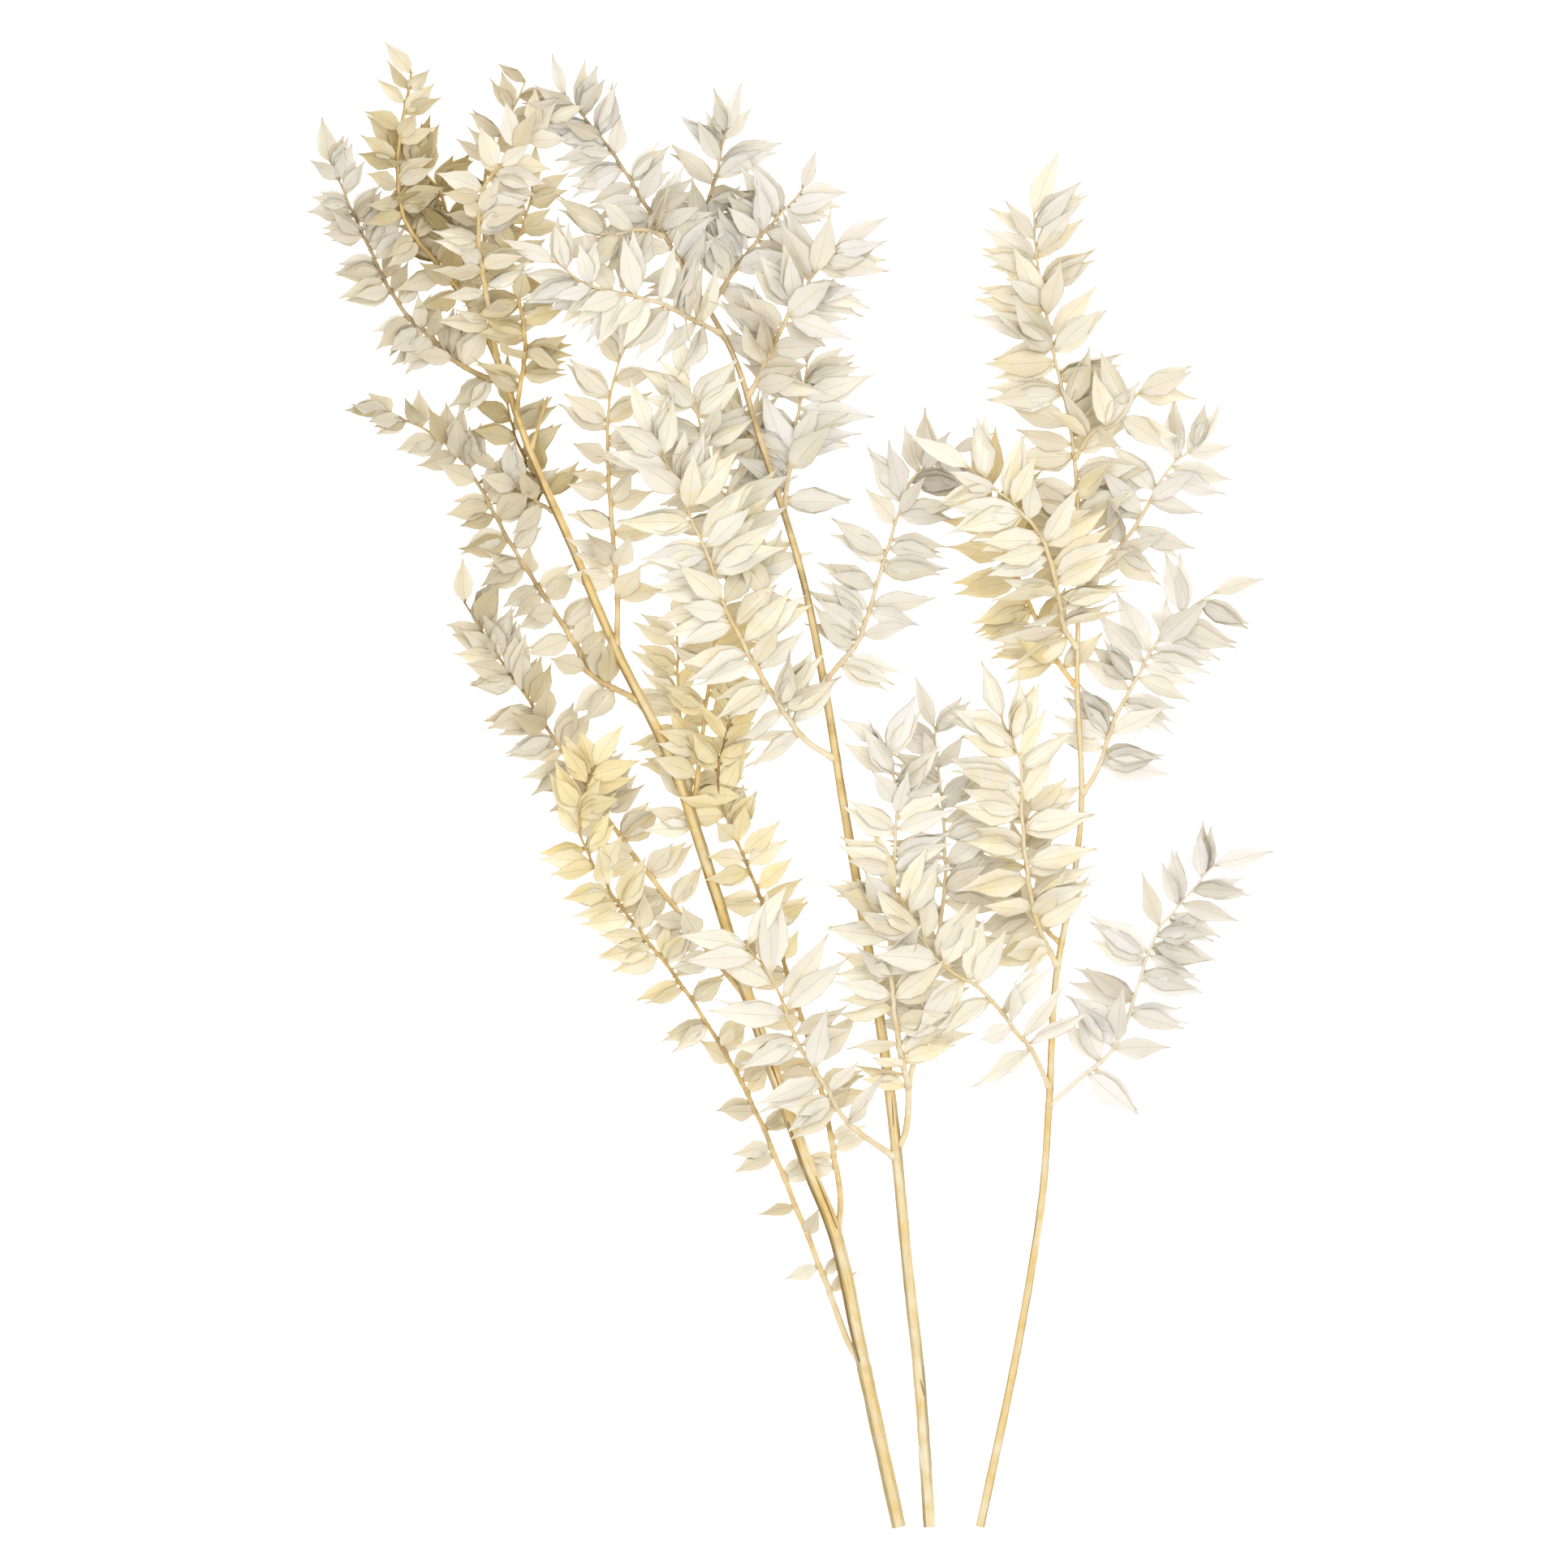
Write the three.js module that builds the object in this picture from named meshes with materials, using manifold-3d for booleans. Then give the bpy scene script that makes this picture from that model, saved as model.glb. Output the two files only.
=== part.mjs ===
// A dried, bleached ruscus bunch: three cut branches lying fanned out on a surface.
// Millimetres. +Y runs along the stems from the cut ends to the tips, +X is to the right
// and +Z points up from the surface, with the origin under the middle of the bunch.
import * as THREE from "three";
import { mergeVertices } from "three/addons/utils/BufferGeometryUtils.js";
import Module from "manifold-3d";

const wasm = await Module();
wasm.setup();

// Blades: ovate and pointed, with a ridge along the midrib, arched from root to tip. The
// widths at the shoulder and at the flank are shares of the full width.
const BLADE_THICKNESS = 1.2;
const SHOULDER = { along: 0.22, width: 0.84 };
const FLANK = { along: 0.56, width: 0.88 };
const ARCH_DEPTH = 0.1;

// Stance of the blades on a twig, in degrees: angle from the twig's own direction low down
// and high up, with the share of the leafy stretch from which it falls, lift over the
// picture plane, and roll about the midrib, by which the blades of one side lie like
// shingles. Some stand up from the twig or hang under it.
const ANGLE_LOW = 82;
const ANGLE_HIGH = 52;
const ANGLE_FROM = 0.4;
const ANGLE_SPREAD = 8;
const TIP_ANGLE = 10;
const SHINGLE = 15;
const ROLL_SPREAD = 17;
const LIFT_SPREAD = 17;
const STANDING_EVERY = 7;
const STANDING_PLACE = 2;
const STANDING_LIFT = 50;
const STANDING_ANGLE = 0.75;
const FIRM_ROLL = 0.6;
const LEAST_ANGLE = 4;

// How the blades of a twig differ: shares of their length, their arch and their step, and
// the shortening of those near the tip. The first and last stretches are in millimetres.
const LENGTH_SPREAD = 0.12;
const STEP_SPREAD = 0.15;
const ARCH_DROOP = 0.7;
const TAPER_FROM = 0.72;
const TAPER_BY = 0.14;
const TIP_CLEAR = 3;
const TIP_SINK = 1;

// Shares of a route over which a stem and a shoot climb to their height on the way.
const STEM_CLIMB = 0.42;
const SHOOT_CLIMB = 0.38;

// Twigs and stems.
const TWIG_SIDES = 3;
const TWIG_STEP = 22;
const TWIG_TIP_RADIUS = 0.65;
const STEM_SIDES = 8;
const STEM_STEP = 32;
const FEWEST_STEPS = 4;
const POINTS_PER_MM = 2;

// The broken-off twig: the steps along it and how much is left of its radius at its end.
const SPUR_STEPS = 2;
const SPUR_TAPER = 0.7;

// Room kept between separate pieces, and what a blade may do to find it.
const SEAT_GAP = 0.3;
const BLADE_ROOM = 0.25;
const BOX_ROOM = 1;
const TRIES = [
  [0, 0], [20, 0], [-20, 0], [0, -14], [38, -8], [-38, -8], [0, 14],
  [56, -14], [-56, -14], [72, -24], [-72, -24], [30, -34], [-30, -34],
];

// Blades at the surface: how far one may dip under it and be laid flat, the thickness that
// its ridge keeps there, and the least upward part of its face for it to be laid at all.
const FLOOR_DIP = 7;
const FLOOR_THICKNESS = 0.7;
const FLOOR_STEEP = 0.6;

// Corners that lie closer than this are one.
const MERGE_DISTANCE = 1e-4;

// The steps by which one seeded number follows from the last.
const RANDOM_FACTOR = 1664525;
const RANDOM_TERM = 1013904223;
const RANDOM_RANGE = 4294967296;

// Where the routes' own zero lies from the middle of the bunch.
const MIDDLE = [-1.6, -0.15];

const BLEACHED = {
  stem: { color: "#dcb974", roughness: 0.62, metalness: 0 },
  beige: { color: "#d9cfae", roughness: 0.72, metalness: 0 },
  cream: { color: "#ece6cf", roughness: 0.72, metalness: 0 },
  grey: { color: "#ddd8d2", roughness: 0.72, metalness: 0 },
};

// Main stems: plan route of the axis, radius at the cut end and at the tip, height of the
// axis above the surface on the way and at the tip, and the blades on the last stretch.
const STEMS = [
  {
    name: "left_stem", finish: "stem", radius: [3.4, 0.8], heights: [28, 14], seed: 11,
    bare: 640, leaf: [24, 21], spread: 0.46, spacing: [8, 6.5],
    tip: [-197, 366],
    route: [
      [55, -365], [38, -287], [25, -225], [8, -181], [-16, -113], [-41, -33], [-58, 15],
      [-83, 65], [-108, 123], [-125, 161], [-142, 208], [-157, 237], [-173, 257],
      [-188, 279], [-191, 311], [-184, 350],
    ],
    spur: { from: [-123, 164], to: [-117, 190], rise: 9, radius: 1.1 },
  },
  {
    name: "middle_stem", finish: "stem", radius: [2.9, 0.8], heights: [31, 34], seed: 12,
    bare: 628, leaf: [29, 29], spread: 0.4, spacing: [8, 7],
    tip: [-117, 358],
    route: [
      [70, -365], [65, -293], [59, -237], [50, -149], [39, -77], [28, -13], [18, 49],
      [6, 107], [-14, 171], [-27, 211], [-50, 251], [-68, 281], [-87, 311], [-109, 337],
    ],
  },
  {
    name: "right_stem", finish: "stem", radius: [2.1, 0.8], heights: [27, 8], seed: 13,
    bare: 478, leaf: [35, 34], spread: 0.4, spacing: [8, 7.5],
    tip: [131, 313],
    route: [
      [95, -365], [112, -283], [124, -209], [128, -156], [131, -97], [140, -46],
      [144, -5], [142, 50], [143, 112], [140, 169], [131, 212], [123, 257], [121, 281],
    ],
  },
];

// Side shoots: what bears each one, its plan route from the bearer to the tip, height of its
// twig on the way and at the tip, radius at the foot, bare length before the first blade,
// blade length low down and high up, blade width to length, and step between blades. The
// place where the last blade ends is given for some.
const SHOOTS = [
  {
    name: "left_shoot_01", bearer: "left_stem", finish: "beige", heights: [9, 34], seed: 101,
    radius: 1.5, bare: 42, leaf: [19, 27], spread: 0.5, spacing: [15, 6.5],
    tip: [-82, 31],
    route: [
      [38, -287], [30, -274], [21, -250], [5, -209], [-19, -153], [-49, -102], [-85, -54],
      [-100, -27], [-101, -11], [-94, 10],
    ],
  },
  {
    name: "left_shoot_02", bearer: "left_stem", finish: "beige", heights: [12, 34], seed: 102,
    radius: 1.4, bare: 36, leaf: [20, 25], spread: 0.48, spacing: [13, 6.5],
    tip: [-30, 54],
    route: [
      [25, -223], [26, -202], [22, -177], [16, -148], [5, -107], [-14, -53], [-32, -9],
      [-33, 12], [-27, 33],
    ],
  },
  {
    name: "left_shoot_03", bearer: "left_stem", finish: "beige", heights: [8, 10], seed: 103,
    radius: 1.4, bare: 22, leaf: [23, 24], spread: 0.52, spacing: [10, 7.5],
    tip: [-160, 111],
    route: [
      [-18, -107], [-36, -84], [-71, -40], [-92, -11], [-115, 24], [-130, 46], [-142, 63],
      [-159, 90],
    ],
  },
  {
    name: "left_shoot_04", bearer: "left_stem", finish: "beige", heights: [8, 8], seed: 104,
    radius: 1.2, bare: 12, leaf: [26, 26], spread: 0.46, spacing: [7.5, 7.5],
    route: [[-43, -31], [-47, -12], [-48, 15], [-53, 37], [-54, 79]],
  },
  {
    name: "left_shoot_05", bearer: "left_stem", finish: "beige", heights: [24, 28], seed: 105,
    radius: 1.2, bare: 12, leaf: [26, 26], spread: 0.46, spacing: [8, 8],
    route: [[-46, -13], [-44, 1], [-42, 19], [-37, 62], [-34, 82]],
  },
  {
    name: "left_shoot_06", bearer: "left_stem", finish: "beige", heights: [16, 6], seed: 106,
    radius: 1.4, bare: 16, leaf: [22, 22], spread: 0.54, spacing: [8, 7.5],
    tip: [-218, 184],
    route: [
      [-76, 38], [-96, 54], [-104, 69], [-122, 97], [-136, 119], [-155, 153], [-172, 171],
      [-201, 186],
    ],
  },
  {
    name: "left_shoot_07", bearer: "left_stem", finish: "cream", heights: [24, 20], seed: 107,
    radius: 1.3, bare: 26, leaf: [24, 24], spread: 0.48, spacing: [7.5, 7.5],
    route: [[-83, 66], [-83, 91], [-85, 117], [-88, 165], [-86, 194], [-78, 219]],
  },
  {
    name: "left_shoot_08", bearer: "left_stem", finish: "beige", heights: [18, 14], seed: 108,
    radius: 1, bare: 9, leaf: [20, 20], spread: 0.46, spacing: [8, 7],
    route: [[-113, 132], [-127, 142], [-143, 156]],
  },
  {
    name: "left_shoot_09", bearer: "left_stem", finish: "beige", heights: [8, 7], seed: 109,
    radius: 1, bare: 12, leaf: [25, 25], spread: 0.46, spacing: [7, 7],
    route: [[-114, 133], [-122, 149], [-132, 167], [-138, 188]],
  },
  {
    name: "left_shoot_10", bearer: "left_stem", finish: "grey", heights: [14, 6], seed: 110,
    radius: 1.3, bare: 14, leaf: [21, 21], spread: 0.5, spacing: [8, 7.5],
    tip: [-231, 328],
    route: [[-139, 195], [-160, 206], [-177, 222], [-190, 235], [-204, 261], [-225, 307]],
  },
  {
    name: "left_shoot_11", bearer: "left_stem", finish: "cream", heights: [56, 40], seed: 111,
    radius: 1.3, bare: 14, leaf: [25, 24], spread: 0.48, spacing: [7.5, 7],
    tip: [-97, 332],
    route: [[-142, 208], [-146, 238], [-149, 259], [-149, 279], [-143, 297], [-116, 323]],
  },
  {
    name: "left_shoot_12", bearer: "left_stem", finish: "beige", heights: [36, 34], seed: 112,
    radius: 1.1, bare: 14, leaf: [24, 24], spread: 0.46, spacing: [7, 7],
    route: [[-133, 183], [-128, 211], [-129, 227], [-134, 256], [-128, 275], [-124, 291]],
  },
  {
    name: "left_shoot_13", bearer: "left_stem", finish: "beige", heights: [7, 6], seed: 113,
    radius: 1.1, bare: 10, leaf: [25, 24], spread: 0.46, spacing: [7, 7],
    route: [[-162, 245], [-166, 267], [-167, 279], [-173, 295], [-190, 311]],
  },
  {
    name: "left_shoot_14", bearer: "left_stem", finish: "beige", heights: [12, 20], seed: 114,
    radius: 1.1, bare: 14, leaf: [23, 21], spread: 0.44, spacing: [7.5, 7],
    tip: [-141, 355],
    route: [[-155, 234], [-149, 262], [-148, 301], [-142, 314], [-128, 345]],
  },
  {
    name: "middle_shoot_01", bearer: "middle_stem", finish: "cream", heights: [42, 46], seed: 201,
    radius: 1.4, bare: 34, leaf: [31, 38], spread: 0.4, spacing: [9, 8],
    tip: [0, -46],
    route: [[50, -183], [30, -165], [19, -147], [5, -125], [-6, -97], [-20, -77]],
  },
  {
    name: "middle_shoot_02", bearer: "middle_stem", finish: "cream", heights: [46, 46], seed: 202,
    radius: 1.5, bare: 40, leaf: [31, 32], spread: 0.41, spacing: [9, 8],
    tip: [26, 34],
    route: [
      [53, -178], [58, -169], [59, -147], [54, -125], [50, -83], [51, -49], [53, -5],
      [47, 21],
    ],
  },
  {
    name: "middle_shoot_03", bearer: "middle_shoot_02", finish: "grey", heights: [22, 20],
    radius: 1.3, bare: 24, leaf: [30, 31], spread: 0.4, spacing: [8.5, 8], seed: 203,
    tip: [60, 54],
    route: [[59, -147], [64, -125], [71, -90], [77, -49], [76, -13], [72, 29]],
  },
  {
    name: "middle_shoot_04", bearer: "middle_stem", finish: "cream", heights: [54, 50], seed: 204,
    radius: 1.4, bare: 22, leaf: [34, 36], spread: 0.41, spacing: [8.5, 8],
    tip: [-78, 198],
    route: [
      [22, 12], [7, 24], [-12, 52], [-31, 88], [-38, 110], [-46, 128], [-52, 144], [-66, 170],
    ],
  },
  {
    name: "middle_shoot_05", bearer: "middle_stem", finish: "grey", heights: [18, 7], seed: 205,
    radius: 1.2, bare: 15, leaf: [31, 31], spread: 0.4, spacing: [8, 8],
    tip: [103, 173],
    route: [[19, 50], [27, 61], [36, 73], [48, 112], [58, 143], [64, 153], [82, 165]],
  },
  {
    name: "middle_shoot_06", bearer: "middle_stem", finish: "cream", heights: [26, 38], seed: 206,
    radius: 1.2, bare: 16, leaf: [34, 35], spread: 0.41, spacing: [8, 7.5],
    tip: [-58, 226],
    route: [[9, 85], [-6, 93], [-17, 102], [-34, 149], [-44, 181], [-49, 197]],
  },
  {
    name: "middle_shoot_07", bearer: "middle_stem", finish: "grey", heights: [18, 9], seed: 207,
    radius: 1.2, bare: 7, leaf: [33, 33], spread: 0.4, spacing: [8, 8],
    route: [[-4, 133], [0, 147], [4, 176], [7, 190], [10, 208]],
  },
  {
    name: "middle_shoot_08", bearer: "middle_stem", finish: "cream", heights: [14, 10], seed: 208,
    radius: 1.1, bare: 6, leaf: [28, 28], spread: 0.41, spacing: [8, 8],
    route: [[-13, 168], [-22, 172], [-32, 180]],
  },
  {
    name: "middle_shoot_09", bearer: "middle_stem", finish: "cream", heights: [44, 42], seed: 219,
    radius: 1.2, bare: 12, leaf: [33, 33], spread: 0.4, spacing: [8, 7.5],
    tip: [48, 279],
    route: [[-19, 189], [-15, 197], [-3, 221], [2, 232], [15, 251], [24, 263]],
  },
  {
    name: "middle_shoot_10", bearer: "middle_stem", finish: "cream", heights: [60, 56], seed: 210,
    radius: 1.2, bare: 12, leaf: [31, 31], spread: 0.41, spacing: [6, 6],
    route: [[-32, 220], [-48, 227], [-61, 233], [-80, 238], [-98, 243], [-113, 254]],
  },
  {
    name: "middle_shoot_11", bearer: "middle_stem", finish: "grey", heights: [22, 14], seed: 211,
    radius: 1.2, bare: 12, leaf: [31, 30], spread: 0.4, spacing: [7.5, 7],
    tip: [16, 313],
    route: [[-39, 231], [-31, 244], [-22, 257], [-12, 270], [8, 293]],
  },
  {
    name: "middle_shoot_12", bearer: "middle_stem", finish: "grey", heights: [8, 7], seed: 212,
    radius: 1.2, bare: 12, leaf: [30, 29], spread: 0.4, spacing: [7.5, 7],
    tip: [-22, 348],
    route: [[-53, 256], [-42, 276], [-39, 288], [-35, 299], [-30, 323]],
  },
  {
    name: "middle_shoot_13", bearer: "middle_stem", finish: "cream", heights: [46, 44], seed: 213,
    radius: 1.1, bare: 8, leaf: [30, 30], spread: 0.41, spacing: [6, 6],
    route: [[-60, 267], [-71, 270], [-92, 266]],
  },
  {
    name: "right_shoot_01", bearer: "right_stem", finish: "grey", heights: [9, 7], seed: 301,
    radius: 1.2, bare: 26, leaf: [30, 32], spread: 0.39, spacing: [8.5, 8.5],
    tip: [239, -31],
    route: [
      [128, -157], [144, -143], [157, -133], [166, -118], [180, -76], [191, -61], [210, -39],
    ],
  },
  {
    name: "right_shoot_02", bearer: "right_stem", finish: "cream", heights: [54, 47.4], seed: 302,
    radius: 1.2, bare: 26, leaf: [32, 34], spread: 0.4, spacing: [9, 8],
    route: [[128, -148], [119, -129], [112, -121], [95, -100], [72, -84], [52, -51]],
  },
  {
    name: "right_shoot_03", bearer: "right_stem", finish: "cream", heights: [9, 8], seed: 303,
    radius: 1.1, bare: 12, leaf: [31, 32], spread: 0.4, spacing: [8, 8],
    route: [[132, -77], [124, -67], [118, -45], [117, -24], [120, -4]],
  },
  {
    name: "right_shoot_04", bearer: "right_stem", finish: "cream", heights: [42, 38], seed: 304,
    radius: 1.3, bare: 14, leaf: [34, 36], spread: 0.4, spacing: [8, 7.5],
    tip: [96, 62],
    route: [[131, -89], [121, -65], [116, -35], [114, -11], [113, 13], [104, 33]],
  },
  {
    name: "right_shoot_05", bearer: "right_stem", finish: "grey", heights: [15, 7], seed: 305,
    radius: 1.2, bare: 18, leaf: [32, 32], spread: 0.4, spacing: [8, 8],
    tip: [235, 103],
    route: [[145, -5], [152, 8], [161, 33], [169, 48], [182, 71], [198, 87], [210, 95]],
  },
  {
    name: "right_shoot_06", bearer: "right_stem", finish: "cream", heights: [50, 46], seed: 306,
    radius: 1.3, bare: 12, leaf: [34, 35], spread: 0.4, spacing: [7.5, 7],
    route: [[141, 67], [135, 78], [132, 91], [125, 117], [113, 133], [88, 155]],
  },
  {
    name: "right_shoot_07", bearer: "right_stem", finish: "cream", heights: [8, 8], seed: 307,
    radius: 1.2, bare: 12, leaf: [31, 32], spread: 0.41, spacing: [7, 7],
    route: [[142, 48], [135, 57], [126, 73], [112, 106], [102, 125], [100, 147]],
  },
  {
    name: "right_shoot_08", bearer: "right_stem", finish: "grey", heights: [18, 8], seed: 308,
    radius: 1.2, bare: 14, leaf: [30, 30], spread: 0.4, spacing: [8, 8],
    tip: [214, 188],
    route: [[144, 96], [153, 105], [167, 122], [175, 134], [187, 155], [203, 168]],
  },
  {
    name: "right_shoot_09", bearer: "right_stem", finish: "cream", heights: [26, 22], seed: 309,
    radius: 1.1, bare: 8, leaf: [32, 32], spread: 0.4, spacing: [7, 7],
    tip: [202, 207],
    route: [[141, 160], [150, 173], [159, 176], [174, 195]],
  },
];

// Numbers from 0 to 1 that are the same on every run.
function seededRandom(seed) {
  let state = seed;
  return () => {
    state = (state * RANDOM_FACTOR + RANDOM_TERM) % RANDOM_RANGE;
    return state / RANDOM_RANGE;
  };
}

// Eases from one value to the next as t goes from 0 to 1.
function ease(from, to, t) {
  const held = Math.min(Math.max(t, 0), 1);
  return from + (to - from) * held * held * (3 - 2 * held);
}

// Puts the heights on a plan route: from the foot's height to the height on the way over
// the first part of the route, and from there to the height at the tip.
function liftRoute(route, footHeight, [wayHeight, tipHeight], climb) {
  const reach = [0];
  for (let i = 1; i < route.length; i += 1) {
    const hop = [route[i][0] - route[i - 1][0], route[i][1] - route[i - 1][1]];
    reach.push(reach[i - 1] + Math.hypot(...hop));
  }
  const total = reach[reach.length - 1];
  return route.map(([x, y], i) => {
    const t = reach[i] / total;
    const height = t < climb
      ? ease(footHeight, wayHeight, t / climb)
      : ease(wayHeight, tipHeight, (t - climb) / (1 - climb));
    return new THREE.Vector3(x, y, height);
  });
}

function curveThrough(points) {
  return new THREE.CatmullRomCurve3(points, false, "catmullrom", 0.5);
}

// Point, direction, sideways and upward vectors of a curve at a share of its length.
function frameAt(curve, share) {
  const point = curve.getPointAt(share);
  const along = curve.getTangentAt(share);
  const side = along.clone().cross(new THREE.Vector3(0, 0, 1)).normalize();
  const up = side.clone().cross(along).normalize();
  return { point, along, side, up };
}

// A closed tapering rod: a cylinder bent along the curve.
function bentRod(curve, sides, steps, radii) {
  const geometry = new THREE.CylinderGeometry(1, 1, 1, sides, steps);
  const position = geometry.attributes.position;
  for (let i = 0; i < position.count; i += 1) {
    const share = Math.min(Math.max(position.getY(i) + 0.5, 0), 1);
    const radius = THREE.MathUtils.lerp(radii[0], radii[1], share);
    const { point, side, up } = frameAt(curve, share);
    point.addScaledVector(side, position.getX(i) * radius);
    point.addScaledVector(up, position.getZ(i) * radius);
    position.setXYZ(i, point.x, point.y, point.z);
  }
  return geometry;
}

// Where the blades of a leafy stretch grow: root, direction and size of each, from the bare
// stretch up to the tip, by turns on the right and on the left. One in a few stands up from
// the twig or hangs under it.
function bladeRoots(piece, curve) {
  const length = curve.getLength();
  const random = seededRandom(piece.seed);
  const within = (reach) => reach * (2 * random() - 1);
  const roots = [];
  let reach = piece.bare;
  let hand = piece.seed % 2 ? 1 : -1;
  while (reach < length - TIP_CLEAR) {
    const height = (reach - piece.bare) / (length - piece.bare);
    const taper = 1 - TAPER_BY * ease(0, 1, (height - TAPER_FROM) / (1 - TAPER_FROM));
    const turned = (height - ANGLE_FROM) / (1 - ANGLE_FROM);
    const place = roots.length % (2 * STANDING_EVERY);
    const stands = place % STANDING_EVERY === STANDING_PLACE;
    const standing = stands ? Math.sign(STANDING_EVERY - place) : 0;
    const lean = standing ? STANDING_ANGLE : 1;
    const size = THREE.MathUtils.lerp(piece.leaf[0], piece.leaf[1], height) * taper;
    roots.push({
      share: reach / length,
      angle: ease(ANGLE_LOW, ANGLE_HIGH, turned) * lean + within(ANGLE_SPREAD),
      lift: STANDING_LIFT * standing + within(LIFT_SPREAD),
      roll: SHINGLE * hand + within(ROLL_SPREAD),
      length: size * (1 + within(LENGTH_SPREAD)),
      arch: ARCH_DEPTH * (2 * random() - ARCH_DROOP),
      hand,
    });
    const step = THREE.MathUtils.lerp(piece.spacing[0], piece.spacing[1], height);
    reach += step * (1 + within(STEP_SPREAD));
    hand = -hand;
  }
  roots.push(tipRoot(piece, curve, hand, within(ROLL_SPREAD) * FIRM_ROLL));
  return roots;
}

// The blade at the very tip of a twig. Where the end of the blade is given, its length and
// its angle from the twig follow from that.
function tipRoot(piece, curve, hand, roll) {
  const length = curve.getLength();
  const root = { share: 1 - TIP_SINK / length, lift: 0, roll, arch: 0 };
  if (!piece.tip) return { ...root, angle: TIP_ANGLE, length: piece.leaf[1], hand };
  const { point, along } = frameAt(curve, root.share);
  const way = [piece.tip[0] - point.x, piece.tip[1] - point.y];
  const cross = along.x * way[1] - along.y * way[0];
  const dot = along.x * way[0] + along.y * way[1];
  const angle = THREE.MathUtils.radToDeg(Math.atan2(Math.abs(cross), dot));
  return { ...root, angle, length: Math.hypot(...way), hand: cross > 0 ? -1 : 1 };
}

// The blade's own axes: along its midrib, across it and out of its upper face.
function bladeAxes(frame, root, extraLift, extraAngle) {
  const angle = THREE.MathUtils.degToRad(Math.max(root.angle + extraAngle, LEAST_ANGLE));
  const lift = THREE.MathUtils.degToRad(root.lift + extraLift);
  const roll = THREE.MathUtils.degToRad(root.roll);
  const out = frame.side.clone().multiplyScalar(root.hand * Math.cos(lift));
  out.addScaledVector(frame.up, Math.sin(lift));
  const along = frame.along.clone().multiplyScalar(Math.cos(angle));
  along.addScaledVector(out, Math.sin(angle)).normalize();
  const flat = frame.up.clone().addScaledVector(along, -frame.up.dot(along)).normalize();
  const across = along.clone().cross(flat);
  const face = flat.multiplyScalar(Math.cos(roll)).addScaledVector(across, Math.sin(roll));
  return { along, across: along.clone().cross(face), face };
}

// A closed blade of eight corners: a flat underside with six corners on its rim, and a ridge
// along the midrib on the side that faces up. The whole blade arches from root to tip. What
// dips under the surface is flattened on it. Grown blades keep room to other pieces.
function bladeSolid(rootPoint, axes, root, spread, grown) {
  const width = root.length * spread;
  const ridgeWay = axes.face.z < 0 ? -1 : 1;
  const corners = [];
  const place = (along, across, out, floor) => {
    const arch = root.arch * root.length * along * along;
    const corner = rootPoint.clone().addScaledVector(axes.along, along * root.length);
    corner.addScaledVector(axes.across, across * ridgeWay);
    corner.addScaledVector(axes.face, arch + out * ridgeWay);
    corners.push({ corner, floor });
  };
  place(0, 0, 0, 0);
  for (const row of [SHOULDER, FLANK]) {
    const reach = (row.width * width) / 2 + grown;
    place(row.along, -reach, -grown, 0);
    place(row.along, reach, -grown, 0);
    place(row.along, 0, BLADE_THICKNESS + grown, FLOOR_THICKNESS);
  }
  place(1 + grown / root.length, 0, 0, 0);
  const lowest = Math.min(...corners.map(({ corner }) => corner.z));
  const steep = Math.abs(axes.face.z) < FLOOR_STEEP;
  if (lowest < -FLOOR_DIP || (lowest < 0 && steep)) return null;
  const vertices = corners.flatMap(({ corner, floor }) => [
    corner.x, corner.y, Math.max(corner.z, floor - grown),
  ]);
  const ridge = [
    [0, 2, 3], [0, 3, 1], [1, 3, 6], [1, 6, 4], [3, 2, 5], [3, 5, 6], [4, 6, 7], [6, 5, 7],
  ];
  const flat = [[0, 1, 2], [1, 4, 2], [2, 4, 5], [4, 7, 5]];
  const geometry = new THREE.BufferGeometry();
  geometry.setAttribute("position", new THREE.Float32BufferAttribute(vertices, 3));
  geometry.setIndex([...ridge, ...flat].flat());
  return geometry;
}

// Geometry to solid and back.
function solidOf(geometry) {
  const bare = geometry.clone();
  bare.deleteAttribute("normal");
  bare.deleteAttribute("uv");
  const merged = mergeVertices(bare, MERGE_DISTANCE);
  return new wasm.Manifold(new wasm.Mesh({
    numProp: 3,
    vertProperties: new Float32Array(merged.attributes.position.array),
    triVerts: new Uint32Array(merged.index.array),
  }));
}

function meshOf(solid, piece) {
  const { vertProperties, triVerts } = solid.getMesh();
  const geometry = new THREE.BufferGeometry();
  geometry.setAttribute("position", new THREE.BufferAttribute(vertProperties, 3));
  geometry.setIndex(new THREE.BufferAttribute(triVerts, 1));
  geometry.computeVertexNormals();
  const mesh = new THREE.Mesh(geometry, new THREE.MeshStandardMaterial(BLEACHED[piece.finish]));
  mesh.name = piece.name;
  return mesh;
}

// The largest body of a solid, without the scraps that a cut can leave.
function largestBody(solid) {
  const bodies = solid.decompose();
  return bodies.reduce((best, body) => (body.volume() > best.volume() ? body : best));
}

function boxOf(geometry) {
  geometry.computeBoundingBox();
  return geometry.boundingBox;
}

// The rod of a stem or twig: its solid, the same with room round it, and its box.
function rodOf(piece, curve, sides, step, radii) {
  const steps = Math.max(FEWEST_STEPS, Math.round(curve.getLength() / step));
  const wideRadii = radii.map((radius) => radius + SEAT_GAP);
  const geometry = bentRod(curve, sides, steps, radii);
  return {
    piece,
    curve,
    solid: solidOf(geometry),
    wide: solidOf(bentRod(curve, sides, steps, wideRadii)),
    box: boxOf(geometry),
  };
}

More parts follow.
